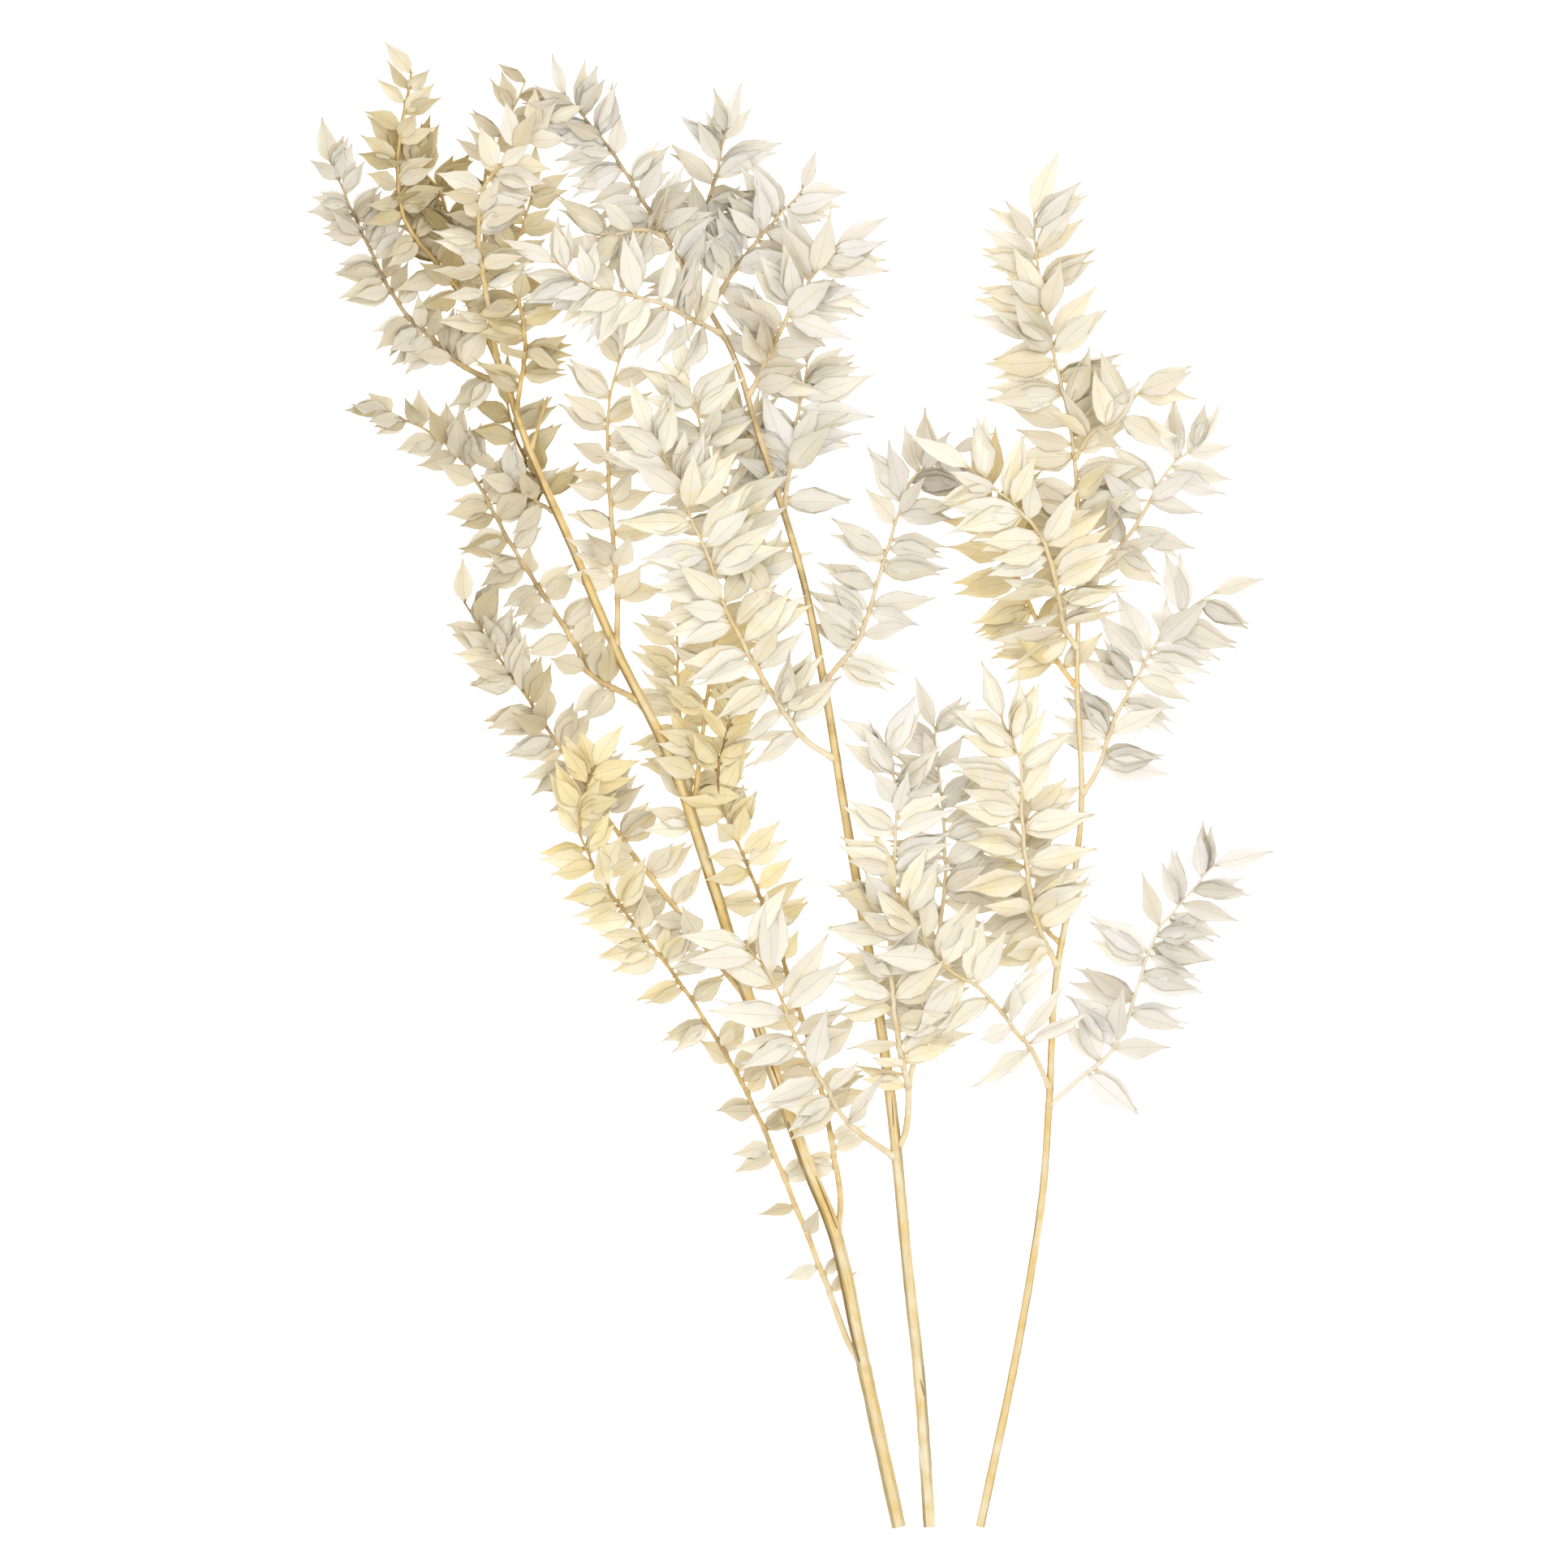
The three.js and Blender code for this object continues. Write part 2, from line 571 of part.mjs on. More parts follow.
// Lays out the rods of all stems and shoots. A shoot starts at the axis of what bears it, and
// is cut off where it would come too near.
function layOutRods() {
  const rods = new Map();
  for (const stem of STEMS) {
    const points = liftRoute(stem.route, stem.radius[0], stem.heights, STEM_CLIMB);
    rods.set(stem.name, rodOf(stem, curveThrough(points), STEM_SIDES, STEM_STEP, stem.radius));
  }
  for (const shoot of SHOOTS) {
    const bearer = rods.get(shoot.bearer);
    const foot = nearestOnCurve(bearer.curve, shoot.route[0]);
    const route = [[foot.x, foot.y], ...shoot.route.slice(1)];
    const curve = curveThrough(liftRoute(route, foot.z, shoot.heights, SHOOT_CLIMB));
    const rod = rodOf(shoot, curve, TWIG_SIDES, TWIG_STEP, [shoot.radius, TWIG_TIP_RADIUS]);
    rod.solid = largestBody(rod.solid.subtract(bearer.wide));
    rods.set(shoot.name, rod);
  }
  return rods;
}

// The point of a curve that lies nearest, in plan, to a place.
function nearestOnCurve(curve, [x, y]) {
  const distance = (point) => Math.hypot(point.x - x, point.y - y);
  const points = curve.getSpacedPoints(Math.ceil(curve.getLength() * POINTS_PER_MM));
  return points.reduce((best, point) => (distance(point) < distance(best) ? point : best));
}

// Sets the blades of every piece so that each stays clear of all that is there already. A
// blade that finds no room in any of its tries is left out.
function setBlades(rods) {
  const placed = [];
  const room = new THREE.Vector3(BOX_ROOM, BOX_ROOM, BOX_ROOM);
  const crosses = (grown, box, other) => {
    return other.box.intersectsBox(box) && !grown.intersect(other.solid).isEmpty();
  };
  const clear = (grown, box, owner) => {
    const others = [...rods.values()].filter((rod) => rod.piece.name !== owner);
    return ![...others, ...placed].some((other) => crosses(grown, box, other));
  };
  const blades = new Map();
  for (const [name, rod] of rods) {
    const own = [];
    for (const root of bladeRoots(rod.piece, rod.curve)) {
      const frame = frameAt(rod.curve, root.share);
      for (const [extraLift, extraAngle] of TRIES) {
        const axes = bladeAxes(frame, root, extraLift, extraAngle);
        const blade = (grown) => bladeSolid(frame.point, axes, root, rod.piece.spread, grown);
        const geometry = blade(0);
        const wide = geometry && blade(BLADE_ROOM);
        if (!wide) continue;
        const box = boxOf(wide).expandByVector(room);
        if (!clear(solidOf(wide), box, name)) continue;
        const solid = solidOf(geometry);
        own.push(solid);
        placed.push({ solid, box });
        break;
      }
    }
    blades.set(name, own);
  }
  return blades;
}

// A short broken-off twig that stays on its stem.
function spurSolid(stem, curve) {
  const { spur } = stem;
  const foot = nearestOnCurve(curve, spur.from);
  const end = new THREE.Vector3(spur.to[0], spur.to[1], foot.z + spur.rise);
  const line = new THREE.CatmullRomCurve3([foot, foot.clone().lerp(end, 0.5), end]);
  const radii = [spur.radius, spur.radius * SPUR_TAPER];
  return solidOf(bentRod(line, TWIG_SIDES, SPUR_STEPS, radii));
}

function buildBunch() {
  const bunch = new THREE.Group();
  const rods = layOutRods();
  const blades = setBlades(rods);
  for (const [name, rod] of rods) {
    let solid = rod.solid;
    if (rod.piece.spur) solid = solid.add(spurSolid(rod.piece, rod.curve));
    for (const blade of blades.get(name)) solid = solid.add(blade);
    bunch.add(meshOf(largestBody(solid), rod.piece));
  }
  bunch.position.set(...MIDDLE, 0);
  return bunch;
}

export default buildBunch();
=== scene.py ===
"""A dried, bleached ruscus bunch: three cut branches lying fanned out on a pale surface.

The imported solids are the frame. Every stem, twig and leaf here grows by the same rule and
from the same seeds as those solids, so each fine leaf lies where its blade lies, and more
leaves fill the rows between them. Lengths are in millimetres until a mesh is written.
"""

import logging
import math
from collections.abc import Callable
from dataclasses import dataclass, field
from enum import Enum
from functools import partial

import bpy
import numpy as np
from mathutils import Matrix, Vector


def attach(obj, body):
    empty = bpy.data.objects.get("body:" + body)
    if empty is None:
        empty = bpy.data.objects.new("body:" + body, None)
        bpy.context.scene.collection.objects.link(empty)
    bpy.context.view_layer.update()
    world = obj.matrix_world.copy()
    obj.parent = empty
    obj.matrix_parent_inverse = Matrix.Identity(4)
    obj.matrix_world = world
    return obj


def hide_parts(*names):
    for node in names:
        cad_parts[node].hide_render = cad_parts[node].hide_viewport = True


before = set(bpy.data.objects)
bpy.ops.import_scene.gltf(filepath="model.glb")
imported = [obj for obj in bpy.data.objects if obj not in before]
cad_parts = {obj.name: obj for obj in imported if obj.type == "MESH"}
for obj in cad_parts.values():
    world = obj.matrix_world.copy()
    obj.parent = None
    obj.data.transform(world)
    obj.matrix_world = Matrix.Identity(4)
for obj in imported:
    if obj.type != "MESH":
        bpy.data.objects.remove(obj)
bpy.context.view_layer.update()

MM = 0.001
MIDDLE = np.array([-1.6, -0.15, 0.0])

# How far from a twig's own seed the series of draws for its parts start.
FILL_SEED = 5000
LEAF_SEED = 9000
SCALE_SEED = 3000

# How strong the knot at a leaf is, and the one at a side shoot.
LEAF_KNOT = 0.5
SHOOT_KNOT = 1.0

# Two ends: of what a value is drawn from, or the values low down and high up.
Span = tuple[float, float]

log = logging.getLogger("ruscus")


class SeededNumbers:
    """Numbers from 0 to 1 that are the same on every run, and the same as in the solids."""

    FACTOR = 1664525
    STEP = 1013904223
    RANGE = 4294967296

    def __init__(self, seed: int) -> None:
        """Starts the series at a seed."""
        self.state = seed

    def __call__(self) -> float:
        """The next number: the state times a factor plus a step, kept within the range."""
        self.state = (self.state * self.FACTOR + self.STEP) % self.RANGE
        return self.state / self.RANGE

    def within(self, reach: float) -> float:
        """A number between minus the reach and plus the reach."""
        return reach * (2 * self() - 1)


def ease(start: float, end: float, t: float) -> float:
    """Eases from start to end as t goes from 0 to 1: three t squared less two t cubed."""
    held = min(max(t, 0.0), 1.0)
    return start + (end - start) * held * held * (3 - 2 * held)


class Line:
    """A smooth line through points chosen by hand, walked by its own length."""

    DIVISIONS = 200
    NUDGE = 0.0001

    def __init__(self, points: np.ndarray) -> None:
        """Takes the points, one in each row, and measures the line."""
        self.points = np.asarray(points, float)
        first = 2 * self.points[:1] - self.points[1:2]
        last = 2 * self.points[-1:] - self.points[-2:-1]
        self.padded = np.vstack([first, self.points, last])
        self.steps = np.arange(self.DIVISIONS + 1) / self.DIVISIONS
        hops = np.linalg.norm(np.diff(self._at(self.steps), axis=0), axis=1)
        self.reach = np.concatenate([[0.0], np.cumsum(hops)])
        self.length = float(self.reach[-1])

    def _at(self, t: np.ndarray) -> np.ndarray:
        """Points at t: a cubic between each two points of the route, whose slope at a point
        is half the chord between its neighbours."""
        stretch = np.clip(t, 0, 1) * (len(self.points) - 1)
        index = np.minimum(stretch.astype(int), len(self.points) - 2)
        w = (stretch - index)[:, None]
        before, start, end, after = (self.padded[index + k] for k in range(4))
        slope_in, slope_out = (end - before) * 0.5, (after - start) * 0.5
        square = 3 * (end - start) - 2 * slope_in - slope_out
        cube = 2 * (start - end) + slope_in + slope_out
        return start + slope_in * w + square * w**2 + cube * w**3

    def frames(self, share: np.ndarray) -> tuple[np.ndarray, ...]:
        """Points, directions, sideways and upward vectors at shares of the length.

        Sideways is the direction crossed with straight up, and upward is sideways crossed
        with the direction.

        Args:
            share: places from 0 at the foot to 1 at the tip.

        Returns:
            Four arrays with a row for each place.
        """
        t = np.interp(np.asarray(share) * self.length, self.reach, self.steps)
        along = self._at(np.minimum(t + self.NUDGE, 1)) - self._at(np.maximum(t - self.NUDGE, 0))
        along /= np.linalg.norm(along, axis=1, keepdims=True)
        side = np.cross(along, [0.0, 0.0, 1.0])
        side /= np.linalg.norm(side, axis=1, keepdims=True)
        return self._at(t), along, side, np.cross(side, along)

    def nearest(self, place: tuple[float, float]) -> tuple[float, np.ndarray]:
        """The share of the length, and the point, that lies nearest in plan to a place."""
        count = math.ceil(self.length * 2)
        shares = np.arange(count + 1) / count
        points = self._at(np.interp(shares * self.length, self.reach, self.steps))
        best = int(np.argmin(np.hypot(points[:, 0] - place[0], points[:, 1] - place[1])))
        return float(shares[best]), points[best]


def lift_route(route: tuple, foot: float, heights: Span, climb: float) -> np.ndarray:
    """Puts heights on a plan route: from the foot's to the way's, and on to the tip's.

    Args:
        route: plan points.
        foot: height of the first point.
        heights: height on the way and at the tip.
        climb: share of the route over which it climbs to the first of them.

    Returns:
        The points with their heights.
    """
    plan = np.array(route, float)
    hops = np.hypot(*np.diff(plan, axis=0).T)
    shares = np.concatenate([[0.0], np.cumsum(hops)]) / hops.sum()
    way, tip = heights
    rise = [
        ease(foot, way, t / climb) if t < climb else ease(way, tip, (t - climb) / (1 - climb))
        for t in shares
    ]
    return np.column_stack([plan, rise])


class Tone(Enum):
    """What the bleach has left of the green: the finish of a shoot's leaves."""

    GREY = "leaf_grey"
    CREAM = "leaf_cream"
    BEIGE = "leaf_beige"


@dataclass
class Root:
    """Where one leaf grows on its twig, as a share of its length, and how it stands there."""

    share: float
    angle: float
    lift: float
    roll: float
    length: float
    arch: float
    hand: int
    bound: bool = True


@dataclass(frozen=True)
class Twig:
    """A stem or shoot, by what bears it, and the rule by which its leaves grow.

    Fill is how many leaves stand beside each of the solids' blades, warmth how far a leaf is
    from grey to straw yellow, age how far it has darkened, and bark how far the twig itself
    is from cream to brown, each low down on the twig and high up. Reach is how far a leaf
    is drawn out beyond its blade, spread its width as a share of its length, and tip where
    in plan the last leaf ends.
    """

    name: str
    bearer: str
    tone: Tone
    heights: Span
    seed: int
    radius: float
    bare: float
    leaf: Span
    spacing: Span
    fill: Span
    warmth: Span
    age: Span
    bark: Span
    route: tuple
    spread: float = 0.4
    tip: tuple[float, float] | None = None
    reach: float = 1.08

    def at(self, values: Span, height: float) -> float:
        """A value between the one low down and the one high up on the leafy stretch."""
        return values[0] + (values[1] - values[0]) * height

    def faded(self, whole: bool) -> tuple[float, float]:
        """How far the gold of its bark has faded at foot and tip: where its leaves are grey,
        and not at the foot unless the whole of it is leafy."""
        low, high = (min(max(1 - warmth, 0.0), 1.0)**2 for warmth in self.warmth)
        return (low if whole else 0.0), high


@dataclass(frozen=True)
class GrowthRule:
    """How leaves follow each other up a twig, in degrees and shares, as in the solids.

    What starts with fill is for the leaves that are added between those of the solids, and
    what starts with over for the few of them that lie over the twig.
    """

    angle_low: float = 82.0
    angle_high: float = 52.0
    angle_from: float = 0.4
    angle_spread: float = 8.0
    tip_angle: float = 10.0
    shingle: float = 15.0
    roll_spread: float = 17.0
    firm_roll: float = 0.6
    lift_spread: float = 17.0
    standing_every: int = 7
    standing_place: int = 2
    standing_lift: float = 50.0
    standing_angle: float = 0.75
    length_spread: float = 0.12
    step_spread: float = 0.15
    arch: float = 0.1
    arch_droop: float = 0.7
    taper_from: float = 0.72
    taper_by: float = 0.14
    tip_clear: float = 3.0
    tip_sink: float = 1.0
    least_angle: float = 4.0
    tries: tuple = (
        (0, 0), (20, 0), (-20, 0), (0, -14), (38, -8), (-38, -8), (0, 14),
        (56, -14), (-56, -14), (72, -24), (-72, -24), (30, -34), (-30, -34),
    )
    over_share: float = 0.08
    over_share_cream: float = 0.2
    over_lift: Span = (36, 62)
    over_angle: float = 0.75
    fill_lift: float = 10
    stack_lift: float = 8
    fill_shift: Span = (-0.8, 0.9)
    fill_last: float = 0.99
    fill_turn: Span = (-17, 13)
    fill_roll: float = 14
    fill_length: Span = (0.84, 1.06)
    fill_arch: Span = (-0.9, 1.0)

    def roots(self, twig: Twig, line: Line) -> list[Root]:
        """Roots from the bare stretch up to the tip, by turns on the right and the left.

        Args:
            twig: the twig's sizes.
            line: its axis.

        Returns:
            One root for each blade of the solids, the last of them at the very tip.
        """
        draw = SeededNumbers(twig.seed)
        roots: list[Root] = []
        reach = float(twig.bare)
        hand = 1 if twig.seed % 2 else -1
        while reach < line.length - self.tip_clear:
            height = (reach - twig.bare) / (line.length - twig.bare)
            above = (height - self.taper_from) / (1 - self.taper_from)
            turned = (height - self.angle_from) / (1 - self.angle_from)
            size = twig.at(twig.leaf, height) * (1 - self.taper_by * ease(0, 1, above))
            place = len(roots) % (2 * self.standing_every)
            standing = 0
            if place % self.standing_every == self.standing_place:
                standing = 1 if place < self.standing_every else -1
            lean = self.standing_angle if standing else 1.0
            roots.append(Root(
                share=reach / line.length,
                angle=ease(self.angle_low, self.angle_high, turned) * lean
                + draw.within(self.angle_spread),
                lift=self.standing_lift * standing + draw.within(self.lift_spread),
                roll=self.shingle * hand + draw.within(self.roll_spread),
                length=size * (1 + draw.within(self.length_spread)),
                arch=self.arch * (2 * draw() - self.arch_droop),
                hand=hand,
            ))
            step = twig.at(twig.spacing, height)
            reach += step * (1 + draw.within(self.step_spread))
            hand = -hand
        roots.append(self.tip_root(twig, line, hand, draw.within(self.roll_spread)))
        return roots

    def tip_root(self, twig: Twig, line: Line, hand: int, roll: float) -> Root:
        """The leaf at the very tip: where its end is given, its length and angle follow."""
        share = 1 - self.tip_sink / line.length
        root = Root(share, self.tip_angle, 0, roll * self.firm_roll, twig.leaf[1], 0, hand)
        if twig.tip is None:
            return root
        point, along, _, _ = (part[0] for part in line.frames(np.array([share])))
        way = np.array(twig.tip) - point[:2]
        cross = along[0] * way[1] - along[1] * way[0]
        root.angle = math.degrees(math.atan2(abs(cross), float(along[:2] @ way)))
        root.length = math.hypot(*way)
        root.hand = -1 if cross > 0 else 1
        return root

    def filling(self, twig: Twig, roots: list[Root]) -> list[Root]:
        """More leaves beside those of the solids, nearly parallel to them, so that each side
        of a twig has its stacks of leaves; one in a few lies over the twig.

        Args:
            twig: the twig's sizes.
            roots: the roots of the solids' blades.

        Returns:
            The roots of the added leaves.
        """
        draw = np.random.RandomState(twig.seed + FILL_SEED)
        step = (roots[-1].share - roots[0].share) / len(roots)
        over_share = self.over_share_cream if twig.tone is Tone.CREAM else self.over_share
        added: list[Root] = []
        for root in roots[:-1]:
            height = (root.share - roots[0].share) / (1 - roots[0].share)
            standing = abs(root.lift) > self.standing_lift - self.lift_spread
            for turn in range(int(twig.at(twig.fill, height) + draw.rand())):
                over = draw.rand() < over_share
                hand = -root.hand if standing else root.hand
                lift = draw.uniform(*(self.over_lift if over else (-self.fill_lift, self.fill_lift)))
                if not (over or standing):
                    lift += root.lift + draw.choice([-1, 1]) * self.stack_lift * (turn + 1)
                added.append(Root(
                    share=min(root.share + draw.uniform(*self.fill_shift) * step, self.fill_last),
                    angle=root.angle * (self.over_angle if over else 1.0)
                    + draw.uniform(*self.fill_turn),
                    lift=lift,
                    roll=self.shingle * hand + draw.uniform(-self.fill_roll, self.fill_roll),
                    length=root.length * draw.uniform(*self.fill_length),
                    arch=self.arch * draw.uniform(*self.fill_arch),
                    hand=hand,
                    bound=False,
                ))
        return added

    def axes(self, here: tuple, root: Root, more: tuple[float, float]) -> np.ndarray:
        """A leaf's own axes: along its midrib, across it and out of its upper face.

        Args:
            here: point, direction, sideways and upward vectors of the twig at the root.
            root: how the leaf stands.
            more: degrees added to its lift and to its angle from the twig.

        Returns:
            Three rows of unit vectors.
        """
        _, forward, side, up = here
        angle = math.radians(max(root.angle + more[1], self.least_angle))
        lift = math.radians(root.lift + more[0])
        roll = math.radians(root.roll)
        out = side * root.hand * math.cos(lift) + up * math.sin(lift)
        along = forward * math.cos(angle) + out * math.sin(angle)
        along /= np.linalg.norm(along)
        flat = up - along * (up @ along)
        flat /= np.linalg.norm(flat)
        face = flat * math.cos(roll) + np.cross(along, flat) * math.sin(roll)
        return np.array([along, np.cross(along, face), face])


@dataclass
class Sheet:
    """Closed tubes ready for a mesh: corners, faces, and the maps of their surface."""

    corners: np.ndarray
    quads: np.ndarray
    triangles: np.ndarray
    uv: np.ndarray
    marks: dict[str, np.ndarray]
    crease: np.ndarray

    def mark(self, **values: float) -> "Sheet":
        """Sets marks, each with one value for all corners."""
        for mark, value in values.items():
            self.marks[mark] = np.full(len(self.corners), value)
        return self

    @staticmethod
    def join(sheets: list["Sheet"]) -> "Sheet":
        """Several sheets as one, with the same marks."""
        starts = np.cumsum([0] + [len(sheet.corners) for sheet in sheets[:-1]])
        pairs = list(zip(starts, sheets))
        quad_uv = [sheet.uv[:4 * len(sheet.quads)] for sheet in sheets]
        triangle_uv = [sheet.uv[4 * len(sheet.quads):] for sheet in sheets]
        return Sheet(
            np.vstack([sheet.corners for sheet in sheets]),
            np.vstack([sheet.quads + start for start, sheet in pairs]),
            np.vstack([sheet.triangles + start for start, sheet in pairs]),
            np.vstack(quad_uv + triangle_uv),
            {
                mark: np.concatenate([sheet.marks[mark] for sheet in sheets])
                for mark in sheets[0].marks
            },
            np.concatenate([sheet.crease for sheet in sheets]),
        )


def close_tubes(rings: np.ndarray, ends: np.ndarray, u: np.ndarray, v: np.ndarray) -> Sheet:
    """Tubes over a grid of rows and ring places, closed by a point at each end.

    The ring places run to the left about the way from foot to tip, so that each face, taken
    row by row, points outwards.

    Args:
        rings: corners by tube, row, ring place and axis.
        ends: foot and tip points by tube.
        u: the map's u at each ring place and once more where the ring closes.
        v: the map's v at the foot, at each row and at the tip.

    Returns:
        The sheet, with neither marks nor creases.
    """
    tubes, rows, places, _ = rings.shape
    corners = np.concatenate([ends[:, :1], rings.reshape(tubes, -1, 3), ends[:, 1:]], axis=1)
    count = rows * places + 2
    row, place = np.meshgrid(np.arange(rows - 1), np.arange(places), indexing="ij")
    after = (place + 1) % places
    quad = 1 + np.stack([
        row * places + place, row * places + after,
        (row + 1) * places + after, (row + 1) * places + place,
    ], axis=-1).reshape(-1, 4)
    spot = np.arange(places)
    onward = (spot + 1) % places
    top = 1 + (rows - 1) * places
    foot = np.stack([np.zeros_like(spot), 1 + onward, 1 + spot], axis=-1)
    tip = np.stack([np.full_like(spot, count - 1), top + spot, top + onward], axis=-1)
    triangle = np.vstack([foot, tip])
    halfway = (u[spot] + u[spot + 1]) / 2

    def chart(*corners: tuple) -> np.ndarray:
        """The map at each face's corners, from a pair of u and v for each corner."""
        spots = [np.stack(np.broadcast_arrays(*pair), axis=-1) for pair in corners]
        return np.stack(spots, axis=-2).reshape(-1, 2)

    quad_uv = chart(
        (u[place], v[1 + row]), (u[place + 1], v[1 + row]),
        (u[place + 1], v[2 + row]), (u[place], v[2 + row]),
    )
    triangle_uv = np.vstack([
        chart((halfway, v[0]), (u[spot + 1], v[1]), (u[spot], v[1])),
        chart((halfway, v[-1]), (u[spot], v[-2]), (u[spot + 1], v[-2])),
    ])
    shift = (np.arange(tubes) * count)[:, None, None]
    return Sheet(
        corners.reshape(-1, 3),
        (quad[None] + shift).reshape(-1, 4),
        (triangle[None] + shift).reshape(-1, 3),
        np.vstack([np.tile(quad_uv, (tubes, 1)), np.tile(triangle_uv, (tubes, 1))]),
        {},
        np.zeros(tubes * count, bool),
    )


def write_mesh(name: str, sheet: Sheet, material: bpy.types.Material) -> bpy.types.Object:
    """Puts a sheet into the scene as a piece, in metres at its place in the frame.

    Args:
        name: the piece's name.
        sheet: corners, faces and maps.
        material: its finish.

    Returns:
        The object, at the origin, smooth but for its creases.
    """
    mesh = bpy.data.meshes.new(name)
    quads, triangles = len(sheet.quads), len(sheet.triangles)
    mesh.vertices.add(len(sheet.corners))
    mesh.loops.add(4 * quads + 3 * triangles)
    mesh.polygons.add(quads + triangles)
    places = (sheet.corners + MIDDLE) * MM
    mesh.vertices.foreach_set("co", places.astype(np.float32).ravel())
    corners = np.concatenate([sheet.quads.ravel(), sheet.triangles.ravel()])
    mesh.loops.foreach_set("vertex_index", corners.astype(np.int32))
    starts = np.concatenate([4 * np.arange(quads), 4 * quads + 3 * np.arange(triangles)])
    mesh.polygons.foreach_set("loop_start", starts.astype(np.int32))
    mesh.polygons.foreach_set("use_smooth", np.ones(quads + triangles, bool))
    mesh.update(calc_edges=True)
    layer = mesh.uv_layers.new(name="surface")
    layer.data.foreach_set("uv", sheet.uv.astype(np.float32).ravel())
    for mark, values in sheet.marks.items():
        attribute = mesh.attributes.new(mark, "FLOAT", "POINT")
        attribute.data.foreach_set("value", values.astype(np.float32))
    edge_ends = np.empty(len(mesh.edges) * 2, np.int32)
    mesh.edges.foreach_get("vertices", edge_ends)
    sharp = sheet.crease[edge_ends.reshape(-1, 2)].all(axis=1)
    mesh.attributes.new("sharp_edge", "BOOLEAN", "EDGE").data.foreach_set("value", sharp)
    mesh.materials.append(material)
    mesh.validate()
    piece = bpy.data.objects.new(name, mesh)
    bpy.context.scene.collection.objects.link(piece)
    return piece


@dataclass(frozen=True)
class LeafForm:
    """The fine form of a leaf: a thin closed lens with a short stalk and a drawn-out point.

    Each leaf draws its own fold, curl and so on from the spans: as shares of its half-width,
    but wave, sweep and droop as shares of its length. The twist is in degrees. Few leaves
    are rolled up further.
    """

    thickness: float = 0.34
    rows: tuple[float, ...] = (0.05, 0.19, 0.38, 0.59, 0.78, 0.92)
    widest: float = 0.37
    stalk: float = 0.09
    stalk_end: float = 0.035
    shoulder: float = 0.78
    point: float = 1.15
    ring: tuple[float, ...] = (-1.0, -0.5, 0.0, 0.5, 1.0, 0.5, 0.0, -0.5)
    layer: tuple[float, ...] = (0.0, 1.0, 1.0, 1.0, 0.0, -1.0, -1.0, -1.0)
    rolled_share: float = 0.1
    rolled_fold: float = 0.5
    rolled_curl: float = 0.6
    fold: Span = (-0.12, 0.45)
    curl: Span = (-0.3, 0.45)
    wave: Span = (0.0, 0.03)
    waves: float = 1.4
    twist: float = 17.0
    sweep: Span = (-0.12, 0.12)
    droop: Span = (-0.1, 0.35)
    droop_from: float = 0.6
    skew: Span = (-0.09, 0.09)
    ripple: Span = (0.0, 0.1)
    ripples: float = 1.7

    def outline(self, s: np.ndarray) -> np.ndarray:
        """Half-width as a share of the greatest: a sine up to the widest place, then a power
        of half of one plus a cosine, which draws out the point."""
        grown = np.clip((s - self.stalk_end) / (self.widest - self.stalk_end), 0, 1)
        low = np.sin(np.pi / 2 * grown) ** self.shoulder
        t = np.clip((s - self.widest) / (1 - self.widest), 0, 1)
        high = (0.5 * (1 + np.cos(np.pi * t))) ** self.point
        return np.where(s < self.widest, self.stalk + (1 - self.stalk) * low, high)

    def shape(self, leaves: list["Leaf"], seed: int) -> Sheet:
        """All leaves of one twig as one sheet.

        Each leaf is a grid over its outline. Its height over the flat is an arch with the
        square of the way along, less a fold along the midrib, plus margins that curl with
        the cube of the way across, plus a slow wave; another one ripples its outline. Then
        the leaf twists about its midrib and sweeps to one side. What would dip under the
        surface is flattened on it.

        Args:
            leaves: the leaves.
            seed: for the draws by which they differ.

        Returns:
            The sheet with its marks: warmth, age and chance of each leaf.
        """
        draw = np.random.RandomState(seed)
        count = len(leaves)

        def column(values: list | np.ndarray) -> np.ndarray:
            """One value for each leaf, to be spread over its rows and ring."""
            return np.array(values, float)[:, None, None]

        def drawn(span: Span) -> np.ndarray:
            """A draw for each leaf from between the ends of a span."""
            return column(draw.uniform(*span, count))

        length = column([leaf.length for leaf in leaves])
        width = column([leaf.width for leaf in leaves])
        arch = column([leaf.arch for leaf in leaves])
        rolled = drawn((0, 1)) < self.rolled_share
        fold = drawn(self.fold) + self.rolled_fold * rolled
        curl = drawn(self.curl) + self.rolled_curl * rolled
        wave = drawn(self.wave)
        phase = drawn((0, 1))
        twist = column(np.radians(draw.normal(0, self.twist, count)))
        sweep = drawn(self.sweep)
        droop = drawn(self.droop)
        skew = drawn(self.skew)
        ripple = drawn(self.ripple)

        s = np.array(self.rows)[None, :, None]
        w = np.array(self.ring)[None, None, :]
        layer = np.array(self.layer)[None, None, :]
        half = 0.5 * width * self.outline(s)
        rippling = np.sin(2 * np.pi * (self.ripples * s + phase + 0.3 * w))
        waving = np.sin(2 * np.pi * (self.waves * s + phase))
        across = w * half * (1 + skew * np.sign(w) + ripple * rippling)
        out = curl * half * np.abs(w) ** 3 - fold * half * (1 - np.abs(w) ** 1.3)
        out = out + wave * length * waving * (0.3 + np.abs(w))
        out = out + 0.5 * self.thickness * layer
        turn = twist * s
        across, out = (
            across * np.cos(turn) - out * np.sin(turn) + sweep * length * s**2,
            across * np.sin(turn) + out * np.cos(turn)
            + arch * length * s**2 - droop * length * np.clip(s - self.droop_from, 0, None) ** 2,
        )
        tip_across = sweep[:, 0] * length[:, 0]
        tip_out = (arch - (1 - self.droop_from) ** 2 * droop)[:, 0] * length[:, 0]

